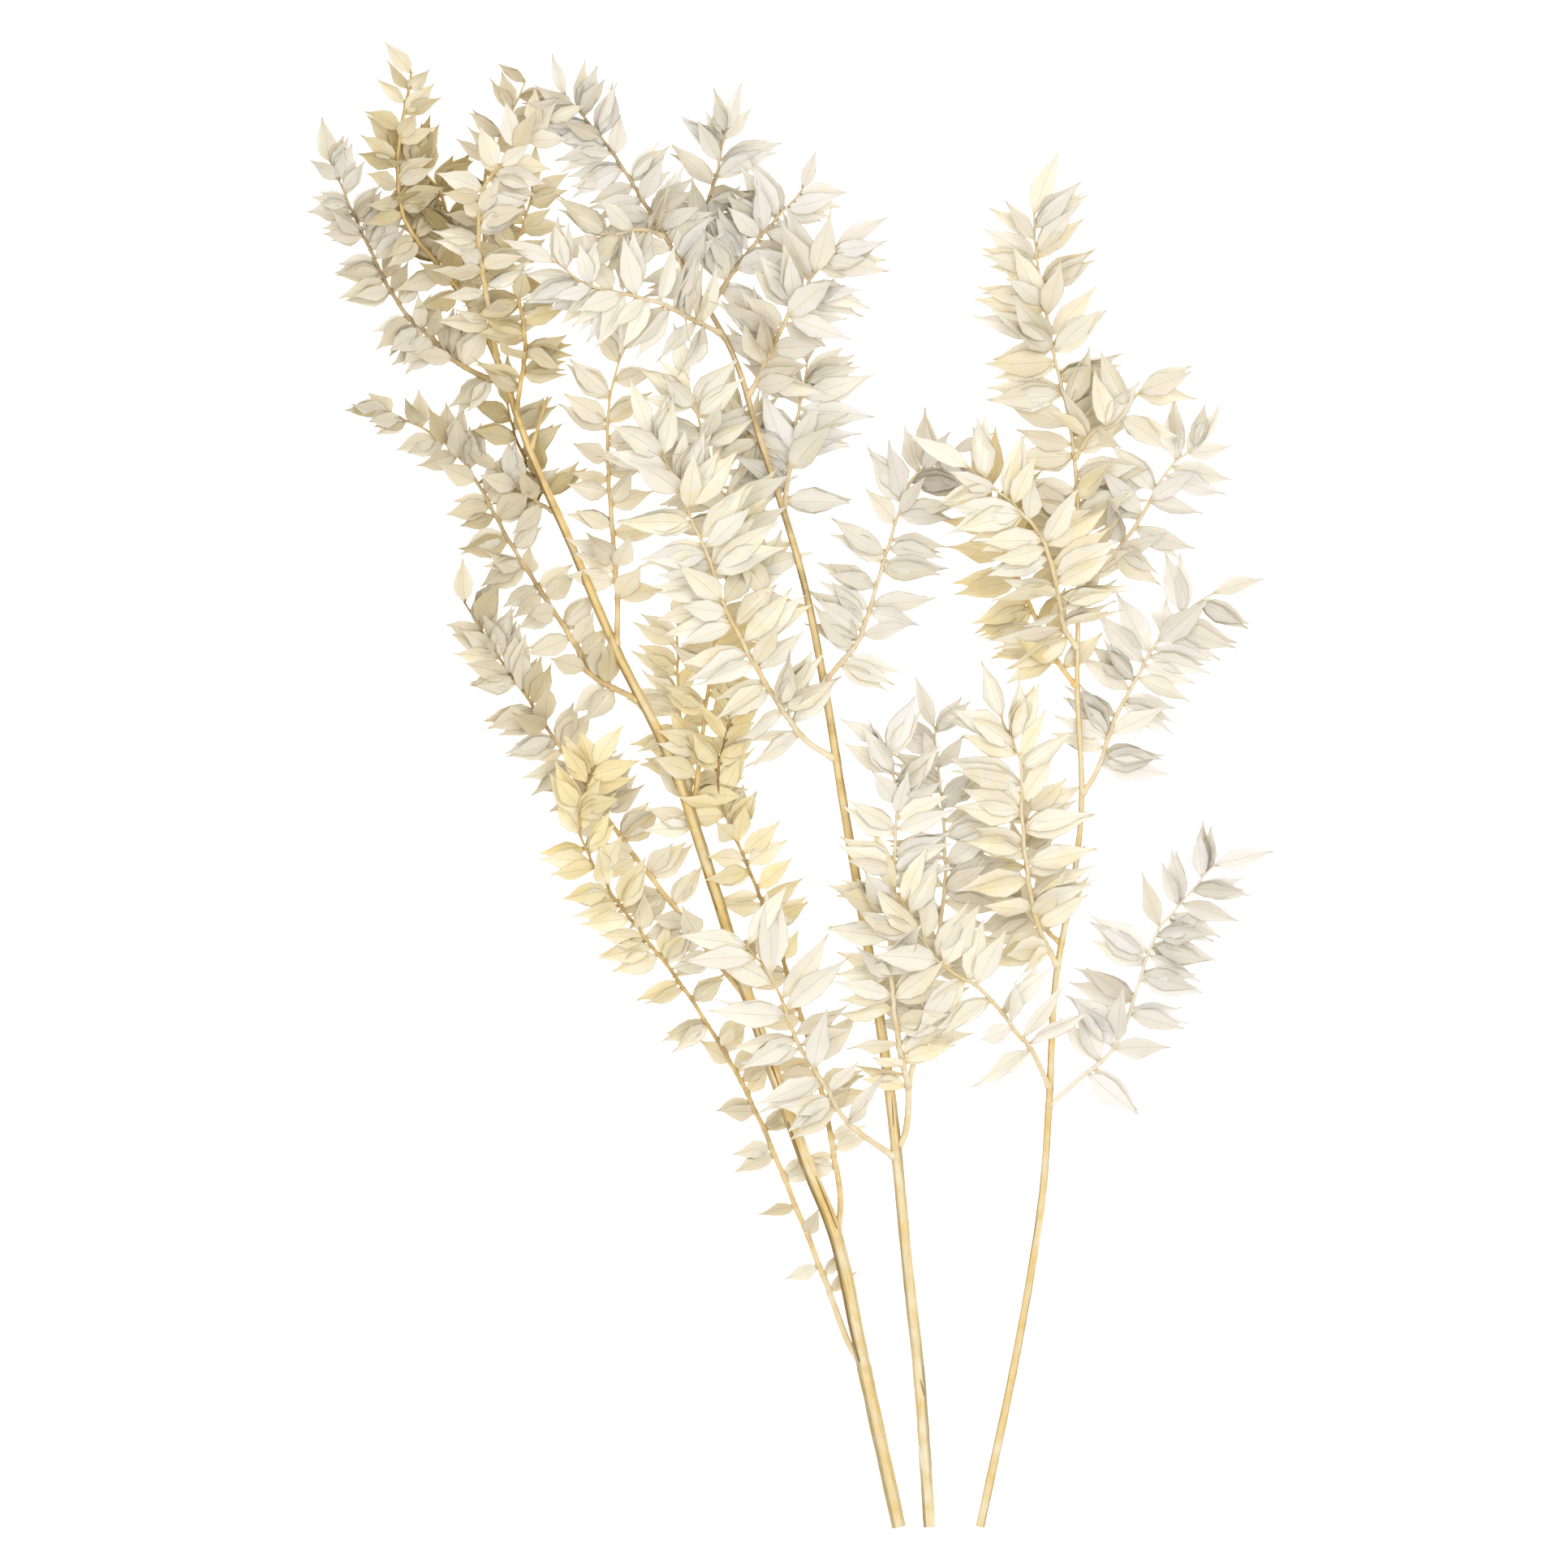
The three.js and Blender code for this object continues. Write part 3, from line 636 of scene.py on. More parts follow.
        root = np.array([leaf.root for leaf in leaves])
        axes = np.array([leaf.axes for leaf in leaves])
        rings = root[:, None, None] + sum(
            axes[:, k][:, None, None] * amount[..., None]
            for k, amount in enumerate((np.broadcast_to(s * length, out.shape), across, out))
        )
        tips = root + axes[:, 0] * length[:, 0] + axes[:, 1] * tip_across + axes[:, 2] * tip_out
        upper = np.sign(axes[:, 2, 2])[:, None, None] * layer
        floor = np.where(upper > 0, 1.0, np.where(upper < 0, 0.0, 0.5)) * self.thickness
        rings[..., 2] = np.maximum(rings[..., 2], np.broadcast_to(floor, out.shape))
        tips[:, 2] = np.maximum(tips[:, 2], 0.5 * self.thickness)

        u = (np.array(self.ring + self.ring[:1]) + 1) / 2
        sheet = close_tubes(rings, np.stack([root, tips], axis=1), u, np.array([0, *self.rows, 1]))
        corners = len(self.rows) * len(self.ring) + 2
        sheet.marks = {
            mark: np.repeat(values, corners) for mark, values in (
                ("warmth", np.array([leaf.warmth for leaf in leaves])),
                ("age", np.array([leaf.age for leaf in leaves])),
                ("chance", draw.uniform(0, 1, count)),
            )
        }
        rim = np.tile(np.array(self.layer) == 0, len(self.rows))
        sheet.crease = np.tile(np.concatenate([[True], rim, [True]]), count)
        return sheet


@dataclass
class Leaf:
    """One leaf ready to be shaped: root point, axes, sizes and tones."""

    root: np.ndarray
    axes: np.ndarray
    length: float
    width: float
    arch: float
    warmth: float
    age: float


@dataclass(frozen=True)
class RodForm:
    """The form of a stem or twig: a tapering ribbed tube that swells at its knots.

    Steps and reaches are in millimetres. A knot's reach is a fixed part and one that goes
    with its strength. The painted shadow on each side of the tube, shade drawn into its
    colour, goes from one end of its span to the other as it comes and goes along the stem.
    """

    sides: int
    step: float
    tip_radius: float
    leaf_knot: float
    shoot_knot: float
    ribs: int = 5
    rib_depth: float = 0.03
    unevenness: float = 0.04
    zigzag: float = 0.22
    collar: float = 0.45
    shoot_tint: float = 1.0
    grey_from: float = 1.0
    fullness: float = 0.5
    least_fullness: float = 1.2
    flank_band: float = 0.22
    flank_soft: float = 0.6
    flank_left: Span = (0.35, 1.0)
    flank_right: Span = (0.9, 0.0)
    drift_step: float = 38.0
    drift_draws: int = 20
    uneven_step: float = 6.0
    uneven_draws: int = 200
    collar_reach: float = 1.6
    knot_reach: Span = (0.5, 1.3)
    tint_reach: float = 1.3
    fewest_rows: int = 8

    def shape(
        self, line: Line, radius: float, sunk: float, knots: np.ndarray,
        bark: Span, grey: Span, seed: int,
    ) -> Sheet:
        """The tube as a sheet.

        The radius falls from foot to tip with a power of the way, the higher the thicker the
        stem is, times one plus a bell curve at each knot, a collar where it leaves its
        bearer, slow unevenness, and ribs: a cosine of the angle round it. The axis steps a
        little to the side of each leaf.

        Args:
            line: the axis.
            radius: the radius at the foot.
            sunk: how far the foot lies inside its bearer.
            knots: share of the length, strength and side of each knot.
            bark: how brown it is at the foot and at the tip.
            grey: how far its gold has faded to grey there.
            seed: for the unevenness.

        Returns:
            The sheet with its marks: how near a knot is, the cut end, how brown and how
            faded the bark is, and how much painted shadow a corner on its sides takes.
        """
        draw = np.random.RandomState(seed)
        rows = max(self.fewest_rows, int(line.length / self.step))
        shares = np.linspace(0, 1, rows)
        way = shares * line.length

        def drifting(step: float, lowest: float, count: int) -> np.ndarray:
            """What drifts along the tube: draws from lowest to 1 at each step, joined up."""
            return np.interp(way / step, np.arange(count), draw.uniform(lowest, 1, count))

        point, _, side, up = line.frames(shares)
        away = (shares[:, None] - knots[None, :, 0]) * line.length
        reach = self.knot_reach[0] + self.knot_reach[1] * knots[None, :, 1]
        at_shoot = knots[:, 1] == SHOOT_KNOT
        swell = np.where(at_shoot, self.shoot_knot, self.leaf_knot)
        bell = (swell * np.exp(-((away / reach) ** 2))).max(axis=1, initial=0.0)
        tint = np.where(at_shoot, self.shoot_tint, knots[:, 1])
        nearness = (tint * np.exp(-((away / reach / self.tint_reach) ** 2))).max(axis=1, initial=0.0)
        order = np.argsort(knots[:, 0])
        if len(order) > 1:
            sway = np.interp(shares, knots[order, 0], knots[order, 2]) * self.zigzag
            point = point + side * (sway * (shares > knots[order[0], 0]))[:, None]
        fullness = max(self.fullness * radius, self.least_fullness)
        taper = radius + (self.tip_radius - radius) * shares**fullness
        slow = drifting(self.uneven_step, -1, self.uneven_draws)
        collar = self.collar * np.exp(-((way - sunk) / self.collar_reach) ** 2) * (sunk > 0)
        girth = taper * (1 + bell + self.unevenness * slow + collar)
        theta = np.arange(self.sides) / self.sides * 2 * np.pi
        ribs = 1 + self.rib_depth * np.cos(self.ribs * theta + draw.uniform(0, 6))
        ring = girth[:, None] * ribs[None, :]
        rings = point[:, None] + side[:, None] * (ring * np.sin(theta))[..., None]
        rings = rings + up[:, None] * (ring * np.cos(theta))[..., None]
        rings[..., 2] = np.maximum(rings[..., 2], 0.0)
        # Painted shadow: corners towards either side of the tube are marked for a darker olive, shade
        # drawn into the colour, in a band that widens with the stem.
        band = self.flank_band * radius
        drift = drifting(self.drift_step, 0, self.drift_draws)
        flank = sum(
            np.outer(
                start + (end - start) * drift,
                np.clip((hand * np.sin(theta) + band - 1) / (self.flank_soft * band), 0, 1),
            ) for hand, (start, end) in ((-1, self.flank_left), (1, self.flank_right))
        )
        u = np.arange(self.sides + 1) / self.sides
        v = np.concatenate([[0.0], shares, [1.0]]) * line.length * MM
        sheet = close_tubes(rings[None], np.stack([point[0], point[-1]])[None], u, v)

        def spread(values: np.ndarray) -> np.ndarray:
            """Values of the rows, repeated round the ring and at both end points."""
            return np.concatenate([values[:1], np.repeat(values, self.sides), values[-1:]])

        sheet.marks = {
            "knot": spread(nearness),
            "pith": np.concatenate([[1.0], np.zeros(rows * self.sides + 1)]),
            "bark": spread(bark[0] + (bark[1] - bark[0]) * shares),
            "flank": np.concatenate([[0.0], flank.ravel(), [0.0]]),
            "grey": spread(grey[0] + (grey[1] - grey[0]) * shares**self.grey_from),
        }
        sheet.crease[1:1 + self.sides] = sunk == 0
        return sheet


@dataclass(frozen=True)
class ScaleForm:
    """The tiny dry scale at the foot of each leaf: a spindle with four sides."""

    rows: tuple[float, ...] = (0.25, 0.65)
    rows_on_map: tuple[float, ...] = (0.0, 0.3, 0.7, 1.0)
    girth: float = 0.17
    sine: Span = (0.15, 0.8)
    lowest: float = 0.1
    turn: float = 30.0
    outwards: Span = (0.5, 1.1)
    size: Span = (1.8, 3.2)

    def shape(self, frames: tuple, roots: list[Root], seed: int) -> Sheet:
        """The scales of a twig, each under its leaf and turned a little to that side.

        A scale's radius is a sine of the way along it, on two rings.

        Args:
            frames: points, directions, sideways and upward vectors at the roots.
            roots: the roots of the leaves.
            seed: for the draws by which they differ.

        Returns:
            The sheet, still without marks.
        """
        draw = np.random.RandomState(seed)
        point, along, side, up = frames
        hands = np.array([root.hand for root in roots], float)[:, None]
        lifts = np.radians([[root.lift + draw.uniform(-self.turn, self.turn)] for root in roots])
        out = side * hands * np.cos(lifts) + up * np.sin(lifts)
        ways = along + out * draw.uniform(*self.outwards, (len(roots), 1))
        ways /= np.linalg.norm(ways, axis=1, keepdims=True)
        sizes = draw.uniform(*self.size, len(roots))
        side = np.cross(ways, [0.0, 0.0, 1.0])
        side /= np.linalg.norm(side, axis=1, keepdims=True)
        up = np.cross(side, ways)
        s = np.array(self.rows)[None, :, None]
        theta = np.arange(4)[None, None, :] * np.pi / 2
        length = sizes[:, None, None]
        radius = self.girth * length * np.sin(np.pi * (self.sine[0] + self.sine[1] * s))
        rings = point[:, None, None] + sum(
            axis[:, None, None] * amount[..., None] for axis, amount in (
                (ways, s * length + 0 * theta), (side, radius * np.sin(theta)),
                (up, radius * np.cos(theta)),
            )
        )
        rings[..., 2] = np.maximum(rings[..., 2], self.lowest)
        tips = point + ways * sizes[:, None]
        tips[:, 2] = np.maximum(tips[:, 2], self.lowest)
        ends = np.stack([point, tips], axis=1)
        return close_tubes(rings, ends, np.arange(5) / 4, np.array(self.rows_on_map))


@dataclass(frozen=True)
class Sliver:
    """A slit, a painted groove shadow or a strip of peeled bark that lies along a stem."""

    stem: str
    start: tuple[float, float]
    end: tuple[float, float]
    width: float
    # How brown the strip is drawn; on a groove's painted shadow it is how deep the painted shade is.
    bark: float
    pith: float = 0.0
    rows: int = 14
    sides: int = 6
    depth: float = 0.16
    bluntness: float = 0.7
    farthest: float = 0.93
    raised: float = 1.03
    overhang: float = 1.5
    length_on_map: float = 10.0

    def shape(self, line: Line, radius: float, tip_radius: float) -> Sheet:
        """A flat spindle on the stem's upper side, whose half-width is a sine of the way.

        Args:
            line: the stem's axis.
            radius: the stem's radius at the foot.
            tip_radius: its radius at the tip.

        Returns:
            The sheet, with the marks that a stem has.
        """
        s = (np.arange(self.rows) + 1) / (self.rows + 1)
        plan = np.array(self.start) + np.outer(s, np.array(self.end) - np.array(self.start))
        shares = np.array([line.nearest(tuple(place))[0] for place in plan])
        point, along, side, up = line.frames(shares)
        off = ((plan - point[:, :2]) * side[:, :2]).sum(axis=1)
        girth = radius + (tip_radius - radius) * shares**(RodForm.fullness * radius)
        off = np.clip(off, -self.farthest * girth, self.farthest * girth)
        turn = np.arcsin(off / girth)
        out = side * np.sin(turn)[:, None] + up * np.cos(turn)[:, None]
        across = side * np.cos(turn)[:, None] - up * np.sin(turn)[:, None]
        middle = point + out * (girth * self.raised)[:, None]
        half = (0.5 * self.width * np.sin(np.pi * s) ** self.bluntness)[:, None, None]
        theta = (np.arange(self.sides) / self.sides * 2 * np.pi)[None, :, None]
        rings = middle[:, None] + across[:, None] * half * np.sin(theta)
        rings = rings + out[:, None] * self.depth * np.cos(theta)
        ends = np.stack([middle[0] - along[0] * self.overhang, middle[-1] + along[-1] * self.overhang])
        u = np.arange(self.sides + 1) / (self.sides + 1)
        v = np.concatenate([[0.0], s, [1.0]]) * self.length_on_map * MM
        sheet = close_tubes(rings[None], ends[None], u, v)
        return sheet.mark(knot=0.0, pith=self.pith, bark=self.bark, flank=0.0, grey=0.0)


# The stems and shoots, with the sizes and plan routes of the solids.
STEMS = (
    Twig("left_stem", "", Tone.BEIGE, (28, 14), seed=11, radius=3.4, bare=640, leaf=(24, 21), spread=0.46,
         spacing=(8, 6.5), tip=(-197, 366), fill=(1.0, 0.5), warmth=(0.7, 0.6), age=(0.46, 0.36),
         bark=(0.22, 0.62), route=((55, -365), (38, -287), (25, -225), (8, -181), (-16, -113), (-41, -33),
         (-58, 15), (-83, 65), (-108, 123), (-125, 161), (-142, 208), (-157, 237), (-173, 257),
         (-188, 279), (-191, 311), (-184, 350))),
    Twig("middle_stem", "", Tone.GREY, (31, 34), seed=12, radius=2.9, bare=628, leaf=(29, 29),
         spacing=(8, 7), tip=(-117, 358), fill=(3.2, 3.2), warmth=(0.25, 0.05), age=(0.08, 0.2),
         bark=(0.12, 0.8), reach=1.05, route=((70, -365), (65, -293), (59, -237), (50, -149), (39, -77),
         (28, -13), (18, 49), (6, 107), (-14, 171), (-27, 211), (-50, 251), (-68, 281), (-87, 311),
         (-109, 337))),
    Twig("right_stem", "", Tone.CREAM, (27, 8), seed=13, radius=2.1, bare=478, leaf=(35, 34),
         spacing=(8, 7.5), tip=(131, 313), fill=(2.7, 2.8), warmth=(0.55, 0.35), age=(0.08, 0.24),
         bark=(0.33, 0.2), reach=1.11, route=((95, -365), (112, -283), (124, -209), (128, -156),
         (131, -97), (140, -46), (144, -5), (142, 50), (143, 112), (140, 169), (131, 212), (123, 257),
         (121, 281))),
)

SHOOTS = (
    Twig("left_shoot_01", "left_stem", Tone.BEIGE, (9, 34), seed=101, radius=1.5, bare=42, leaf=(19, 27),
         spread=0.5, spacing=(15, 6.5), tip=(-82, 31), fill=(0.4, 2.0), warmth=(0.3, 1.05),
         age=(0.3, 0.0), bark=(0.3, 0.85), route=((38, -287), (30, -274), (21, -250), (5, -209),
         (-19, -153), (-49, -102), (-85, -54), (-100, -27), (-101, -11), (-94, 10))),
    Twig("left_shoot_02", "left_stem", Tone.BEIGE, (12, 34), seed=102, radius=1.4, bare=36, leaf=(20, 25),
         spread=0.48, spacing=(13, 6.5), tip=(-30, 54), fill=(1.0, 1.9), warmth=(0.4, 1.05),
         age=(0.15, 0.0), bark=(0.45, 0.95), route=((25, -223), (26, -202), (22, -177), (16, -148),
         (5, -107), (-14, -53), (-32, -9), (-33, 12), (-27, 33))),
    Twig("left_shoot_03", "left_stem", Tone.BEIGE, (8, 10), seed=103, radius=1.4, bare=22, leaf=(23, 24),
         spread=0.52, spacing=(10, 7.5), tip=(-160, 111), fill=(0.9, 3.0), warmth=(0.45, 0.35),
         age=(0.26, 0.36), bark=(0.5, 0.95), reach=1.13, route=((-18, -107), (-36, -84), (-71, -40),
         (-92, -11), (-115, 24), (-130, 46), (-142, 63), (-159, 90))),
    Twig("left_shoot_04", "left_stem", Tone.BEIGE, (8, 8), seed=104, radius=1.2, bare=12, leaf=(26, 26),
         spread=0.46, spacing=(7.5, 7.5), fill=(1.2, 1.0), warmth=(0.65, 0.6), age=(0.04, 0.08),
         bark=(0.5, 0.5), route=((-43, -31), (-47, -12), (-48, 15), (-53, 37), (-54, 79))),
    Twig("left_shoot_05", "left_stem", Tone.BEIGE, (24, 28), seed=105, radius=1.2, bare=12, leaf=(26, 26),
         spread=0.46, spacing=(8, 8), fill=(1.2, 1.0), warmth=(0.85, 0.85), age=(0.0, 0.0),
         bark=(0.4, 0.5), route=((-46, -13), (-44, 1), (-42, 19), (-37, 62), (-34, 82))),
    Twig("left_shoot_06", "left_stem", Tone.BEIGE, (16, 6), seed=106, radius=1.4, bare=16, leaf=(22, 22),
         spread=0.54, spacing=(8, 7.5), tip=(-218, 184), fill=(1.1, 1.5), warmth=(0.5, 0.15),
         age=(0.3, 0.55), bark=(0.6, 0.8), route=((-76, 38), (-96, 54), (-104, 69), (-122, 97),
         (-136, 119), (-155, 153), (-172, 171), (-201, 186))),
    Twig("left_shoot_07", "left_stem", Tone.CREAM, (24, 20), seed=107, radius=1.3, bare=26, leaf=(24, 24),
         spread=0.48, spacing=(7.5, 7.5), fill=(0.6, 1.3), warmth=(0.5, 0.4), age=(0.24, 0.26),
         bark=(0.5, 0.5), route=((-83, 66), (-83, 91), (-85, 117), (-88, 165), (-86, 194), (-78, 219))),
    Twig("left_shoot_08", "left_stem", Tone.BEIGE, (18, 14), seed=108, radius=1, bare=9, leaf=(20, 20),
         spread=0.46, spacing=(8, 7), fill=(1.2, 1.2), warmth=(0.3, 0.2), age=(0.4, 0.4),
         bark=(0.65, 0.65), route=((-113, 132), (-127, 142), (-143, 156))),
    Twig("left_shoot_09", "left_stem", Tone.BEIGE, (8, 7), seed=109, radius=1, bare=12, leaf=(25, 25),
         spread=0.46, spacing=(7, 7), fill=(1.8, 1.8), warmth=(0.8, 0.75), age=(0.62, 0.6),
         bark=(0.9, 0.95), route=((-114, 133), (-122, 149), (-132, 167), (-138, 188))),
    Twig("left_shoot_10", "left_stem", Tone.GREY, (14, 6), seed=110, radius=1.3, bare=14, leaf=(21, 21),
         spread=0.5, spacing=(8, 7.5), tip=(-231, 328), fill=(2.4, 3.0), warmth=(0.45, 0.05),
         age=(0.36, 0.4), bark=(0.8, 0.85), reach=1.14, route=((-139, 195), (-160, 206), (-177, 222),
         (-190, 235), (-204, 261), (-225, 307))),
    Twig("left_shoot_11", "left_stem", Tone.CREAM, (56, 40), seed=111, radius=1.3, bare=14, leaf=(25, 24),
         spread=0.48, spacing=(7.5, 7), tip=(-97, 332), fill=(1.2, 1.5), warmth=(0.45, 0.4),
         age=(0.15, 0.25), bark=(0.55, 0.45), route=((-142, 208), (-146, 238), (-149, 259), (-149, 279),
         (-143, 297), (-116, 323))),
    Twig("left_shoot_12", "left_stem", Tone.BEIGE, (36, 34), seed=112, radius=1.1, bare=14, leaf=(24, 24),
         spread=0.46, spacing=(7, 7), fill=(1.4, 1.3), warmth=(0.75, 0.65), age=(0.44, 0.42),
         bark=(0.6, 0.6), route=((-133, 183), (-128, 211), (-129, 227), (-134, 256), (-128, 275),
         (-124, 291))),
    Twig("left_shoot_13", "left_stem", Tone.BEIGE, (7, 6), seed=113, radius=1.1, bare=10, leaf=(25, 24),
         spread=0.46, spacing=(7, 7), fill=(2.8, 2.8), warmth=(0.85, 0.8), age=(0.76, 0.7),
         bark=(0.7, 0.7), reach=1.2, route=((-162, 245), (-166, 267), (-167, 279), (-173, 295),
         (-190, 311))),
    Twig("left_shoot_14", "left_stem", Tone.BEIGE, (12, 20), seed=114, radius=1.1, bare=14, leaf=(23, 21),
         spread=0.44, spacing=(7.5, 7), tip=(-141, 355), fill=(0.9, 0.7), warmth=(0.5, 0.2),
         age=(0.42, 0.44), bark=(0.55, 0.55), route=((-155, 234), (-149, 262), (-148, 301), (-142, 314),
         (-128, 345))),
    Twig("middle_shoot_01", "middle_stem", Tone.CREAM, (42, 46), seed=201, radius=1.4, bare=34,
         leaf=(31, 38), spacing=(9, 8), tip=(0, -46), fill=(1.0, 1.6), warmth=(0.15, 0.5),
         age=(0.08, 0.06), bark=(0.2, 0.45), route=((50, -183), (30, -165), (19, -147), (5, -125),
         (-6, -97), (-20, -77))),
    Twig("middle_shoot_02", "middle_stem", Tone.CREAM, (46, 46), seed=202, radius=1.5, bare=40,
         leaf=(31, 32), spread=0.41, spacing=(9, 8), tip=(26, 34), fill=(1.7, 2.1), warmth=(0.65, 0.25),
         age=(0.02, 0.06), bark=(0.1, 0.25), reach=1.05, route=((53, -178), (58, -169), (59, -147),
         (54, -125), (50, -83), (51, -49), (53, -5), (47, 21))),
    Twig("middle_shoot_03", "middle_shoot_02", Tone.GREY, (22, 20), seed=203, radius=1.3, bare=24,
         leaf=(30, 31), spacing=(8.5, 8), tip=(60, 54), fill=(2.2, 2.6), warmth=(0.35, 0.08),
         age=(0.08, 0.18), bark=(0.35, 0.25), reach=1.05, route=((59, -147), (64, -125), (71, -90),
         (77, -49), (76, -13), (72, 29))),
    Twig("middle_shoot_04", "middle_stem", Tone.CREAM, (54, 50), seed=204, radius=1.4, bare=22,
         leaf=(34, 36), spread=0.41, spacing=(8.5, 8), tip=(-78, 198), fill=(2.3, 2.7), warmth=(0.5, 0.4),
         age=(-0.05, -0.1), bark=(0.2, 0.35), reach=1.06, route=((22, 12), (7, 24), (-12, 52), (-31, 88),
         (-38, 110), (-46, 128), (-52, 144), (-66, 170))),
    Twig("middle_shoot_05", "middle_stem", Tone.GREY, (18, 7), seed=205, radius=1.2, bare=15,
         leaf=(31, 31), spacing=(8, 8), tip=(103, 173), fill=(1.7, 2.8), warmth=(0.14, 0.04),
         age=(0.18, 0.32), bark=(0.4, 0.4), reach=1.06, route=((19, 50), (27, 61), (36, 73), (48, 112),
         (58, 143), (64, 153), (82, 165))),
    Twig("middle_shoot_06", "middle_stem", Tone.CREAM, (26, 38), seed=206, radius=1.2, bare=16,
         leaf=(34, 35), spread=0.41, spacing=(8, 7.5), tip=(-58, 226), fill=(2.5, 2.7), warmth=(0.5, 0.4),
         age=(-0.05, -0.1), bark=(0.3, 0.3), reach=1.04, route=((9, 85), (-6, 93), (-17, 102), (-34, 149),
         (-44, 181), (-49, 197))),
    Twig("middle_shoot_07", "middle_stem", Tone.GREY, (18, 9), seed=207, radius=1.2, bare=7,
         leaf=(33, 33), spacing=(8, 8), fill=(3.0, 4.5), warmth=(0.2, 0.18), age=(0.08, 0.14),
         bark=(0.35, 0.35), reach=1.14, route=((-4, 133), (0, 147), (4, 176), (7, 190), (10, 208))),
    Twig("middle_shoot_08", "middle_stem", Tone.CREAM, (14, 10), seed=208, radius=1.1, bare=6,
         leaf=(28, 28), spread=0.41, spacing=(8, 8), fill=(1.5, 1.5), warmth=(0.55, 0.55),
         age=(0.12, 0.12), bark=(0.4, 0.4), route=((-13, 168), (-22, 172), (-32, 180))),
    Twig("middle_shoot_09", "middle_stem", Tone.CREAM, (44, 42), seed=219, radius=1.2, bare=12,
         leaf=(33, 33), spacing=(8, 7.5), tip=(48, 279), fill=(2.6, 5.0), warmth=(0.35, 0.18),
         age=(0.06, 0.1), bark=(0.4, 0.4), reach=1.1, route=((-19, 189), (-15, 197), (-3, 221), (2, 232),
         (15, 251), (24, 263))),
    Twig("middle_shoot_10", "middle_stem", Tone.CREAM, (60, 56), seed=210, radius=1.2, bare=12,
         leaf=(31, 31), spread=0.41, spacing=(6, 6), fill=(1.7, 3.0), warmth=(0.4, 0.25), age=(0.0, 0.04),
         bark=(0.3, 0.25), reach=1.02, route=((-32, 220), (-48, 227), (-61, 233), (-80, 238), (-98, 243),
         (-113, 254))),
    Twig("middle_shoot_11", "middle_stem", Tone.GREY, (22, 14), seed=211, radius=1.2, bare=12,
         leaf=(31, 30), spacing=(7.5, 7), tip=(16, 313), fill=(3.2, 3.8), warmth=(0.18, 0.08),
         age=(0.16, 0.16), bark=(0.8, 0.45), reach=1.03, route=((-39, 231), (-31, 244), (-22, 257),
         (-12, 270), (8, 293))),
    Twig("middle_shoot_12", "middle_stem", Tone.GREY, (8, 7), seed=212, radius=1.2, bare=12,
         leaf=(30, 29), spacing=(7.5, 7), tip=(-22, 348), fill=(2.6, 2.6), warmth=(0.18, 0.02),
         age=(0.26, 0.2), bark=(0.7, 0.6), reach=1.02, route=((-53, 256), (-42, 276), (-39, 288),
         (-35, 299), (-30, 323))),
    Twig("middle_shoot_13", "middle_stem", Tone.CREAM, (46, 44), seed=213, radius=1.1, bare=8,
         leaf=(30, 30), spread=0.41, spacing=(6, 6), fill=(2.6, 2.6), warmth=(0.4, 0.3), age=(0.05, 0.08),
         bark=(0.1, 0.15), reach=1.03, route=((-60, 267), (-71, 270), (-92, 266))),
    Twig("right_shoot_01", "right_stem", Tone.GREY, (9, 7), seed=301, radius=1.2, bare=26, leaf=(30, 32),
         spread=0.39, spacing=(8.5, 8.5), tip=(239, -31), fill=(1.5, 2.3), warmth=(-0.1, -0.2),
         age=(0.12, 0.24), bark=(-0.1, -0.15), reach=1.09, route=((128, -157), (144, -143), (157, -133),
         (166, -118), (180, -76), (191, -61), (210, -39))),
    Twig("right_shoot_02", "right_stem", Tone.CREAM, (54, 47.4), seed=302, radius=1.2, bare=26,
         leaf=(32, 34), spacing=(9, 8), fill=(0.8, 1.3), warmth=(0.35, 0.6), age=(0.04, 0.06),
         bark=(0.25, 0.25), route=((128, -148), (119, -129), (112, -121), (95, -100), (72, -84),
         (52, -51))),
    Twig("right_shoot_03", "right_stem", Tone.CREAM, (9, 8), seed=303, radius=1.1, bare=12, leaf=(31, 32),
         spacing=(8, 8), fill=(1.8, 2.0), warmth=(0.55, 0.4), age=(0.02, 0.03), bark=(0.3, 0.2),
         route=((132, -77), (124, -67), (118, -45), (117, -24), (120, -4))),
    Twig("right_shoot_04", "right_stem", Tone.CREAM, (42, 38), seed=304, radius=1.3, bare=14,
         leaf=(34, 36), spacing=(8, 7.5), tip=(96, 62), fill=(1.7, 1.6), warmth=(0.6, 0.5),
         age=(-0.08, -0.08), bark=(0.15, 0.25), reach=1.06, route=((131, -89), (121, -65), (116, -35),
         (114, -11), (113, 13), (104, 33))),
    Twig("right_shoot_05", "right_stem", Tone.GREY, (15, 7), seed=305, radius=1.2, bare=18, leaf=(32, 32),
         spacing=(8, 8), tip=(235, 103), fill=(1.5, 1.6), warmth=(0.2, 0.05), age=(0.1, 0.26),
         bark=(0.3, 0.2), route=((145, -5), (152, 8), (161, 33), (169, 48), (182, 71), (198, 87),
         (210, 95))),
    Twig("right_shoot_06", "right_stem", Tone.CREAM, (50, 46), seed=306, radius=1.3, bare=12,
         leaf=(34, 35), spacing=(7.5, 7), fill=(1.7, 1.9), warmth=(0.55, 0.55), age=(-0.08, -0.08),
         bark=(0.15, 0.25), reach=1.06, route=((141, 67), (135, 78), (132, 91), (125, 117), (113, 133),
         (88, 155))),
    Twig("right_shoot_07", "right_stem", Tone.CREAM, (8, 8), seed=307, radius=1.2, bare=12, leaf=(31, 32),
         spread=0.41, spacing=(7, 7), fill=(1.2, 1.2), warmth=(0.8, 0.85), age=(0.26, 0.42),
         bark=(0.4, 0.5), reach=1.06, route=((142, 48), (135, 57), (126, 73), (112, 106), (102, 125),
         (100, 147))),
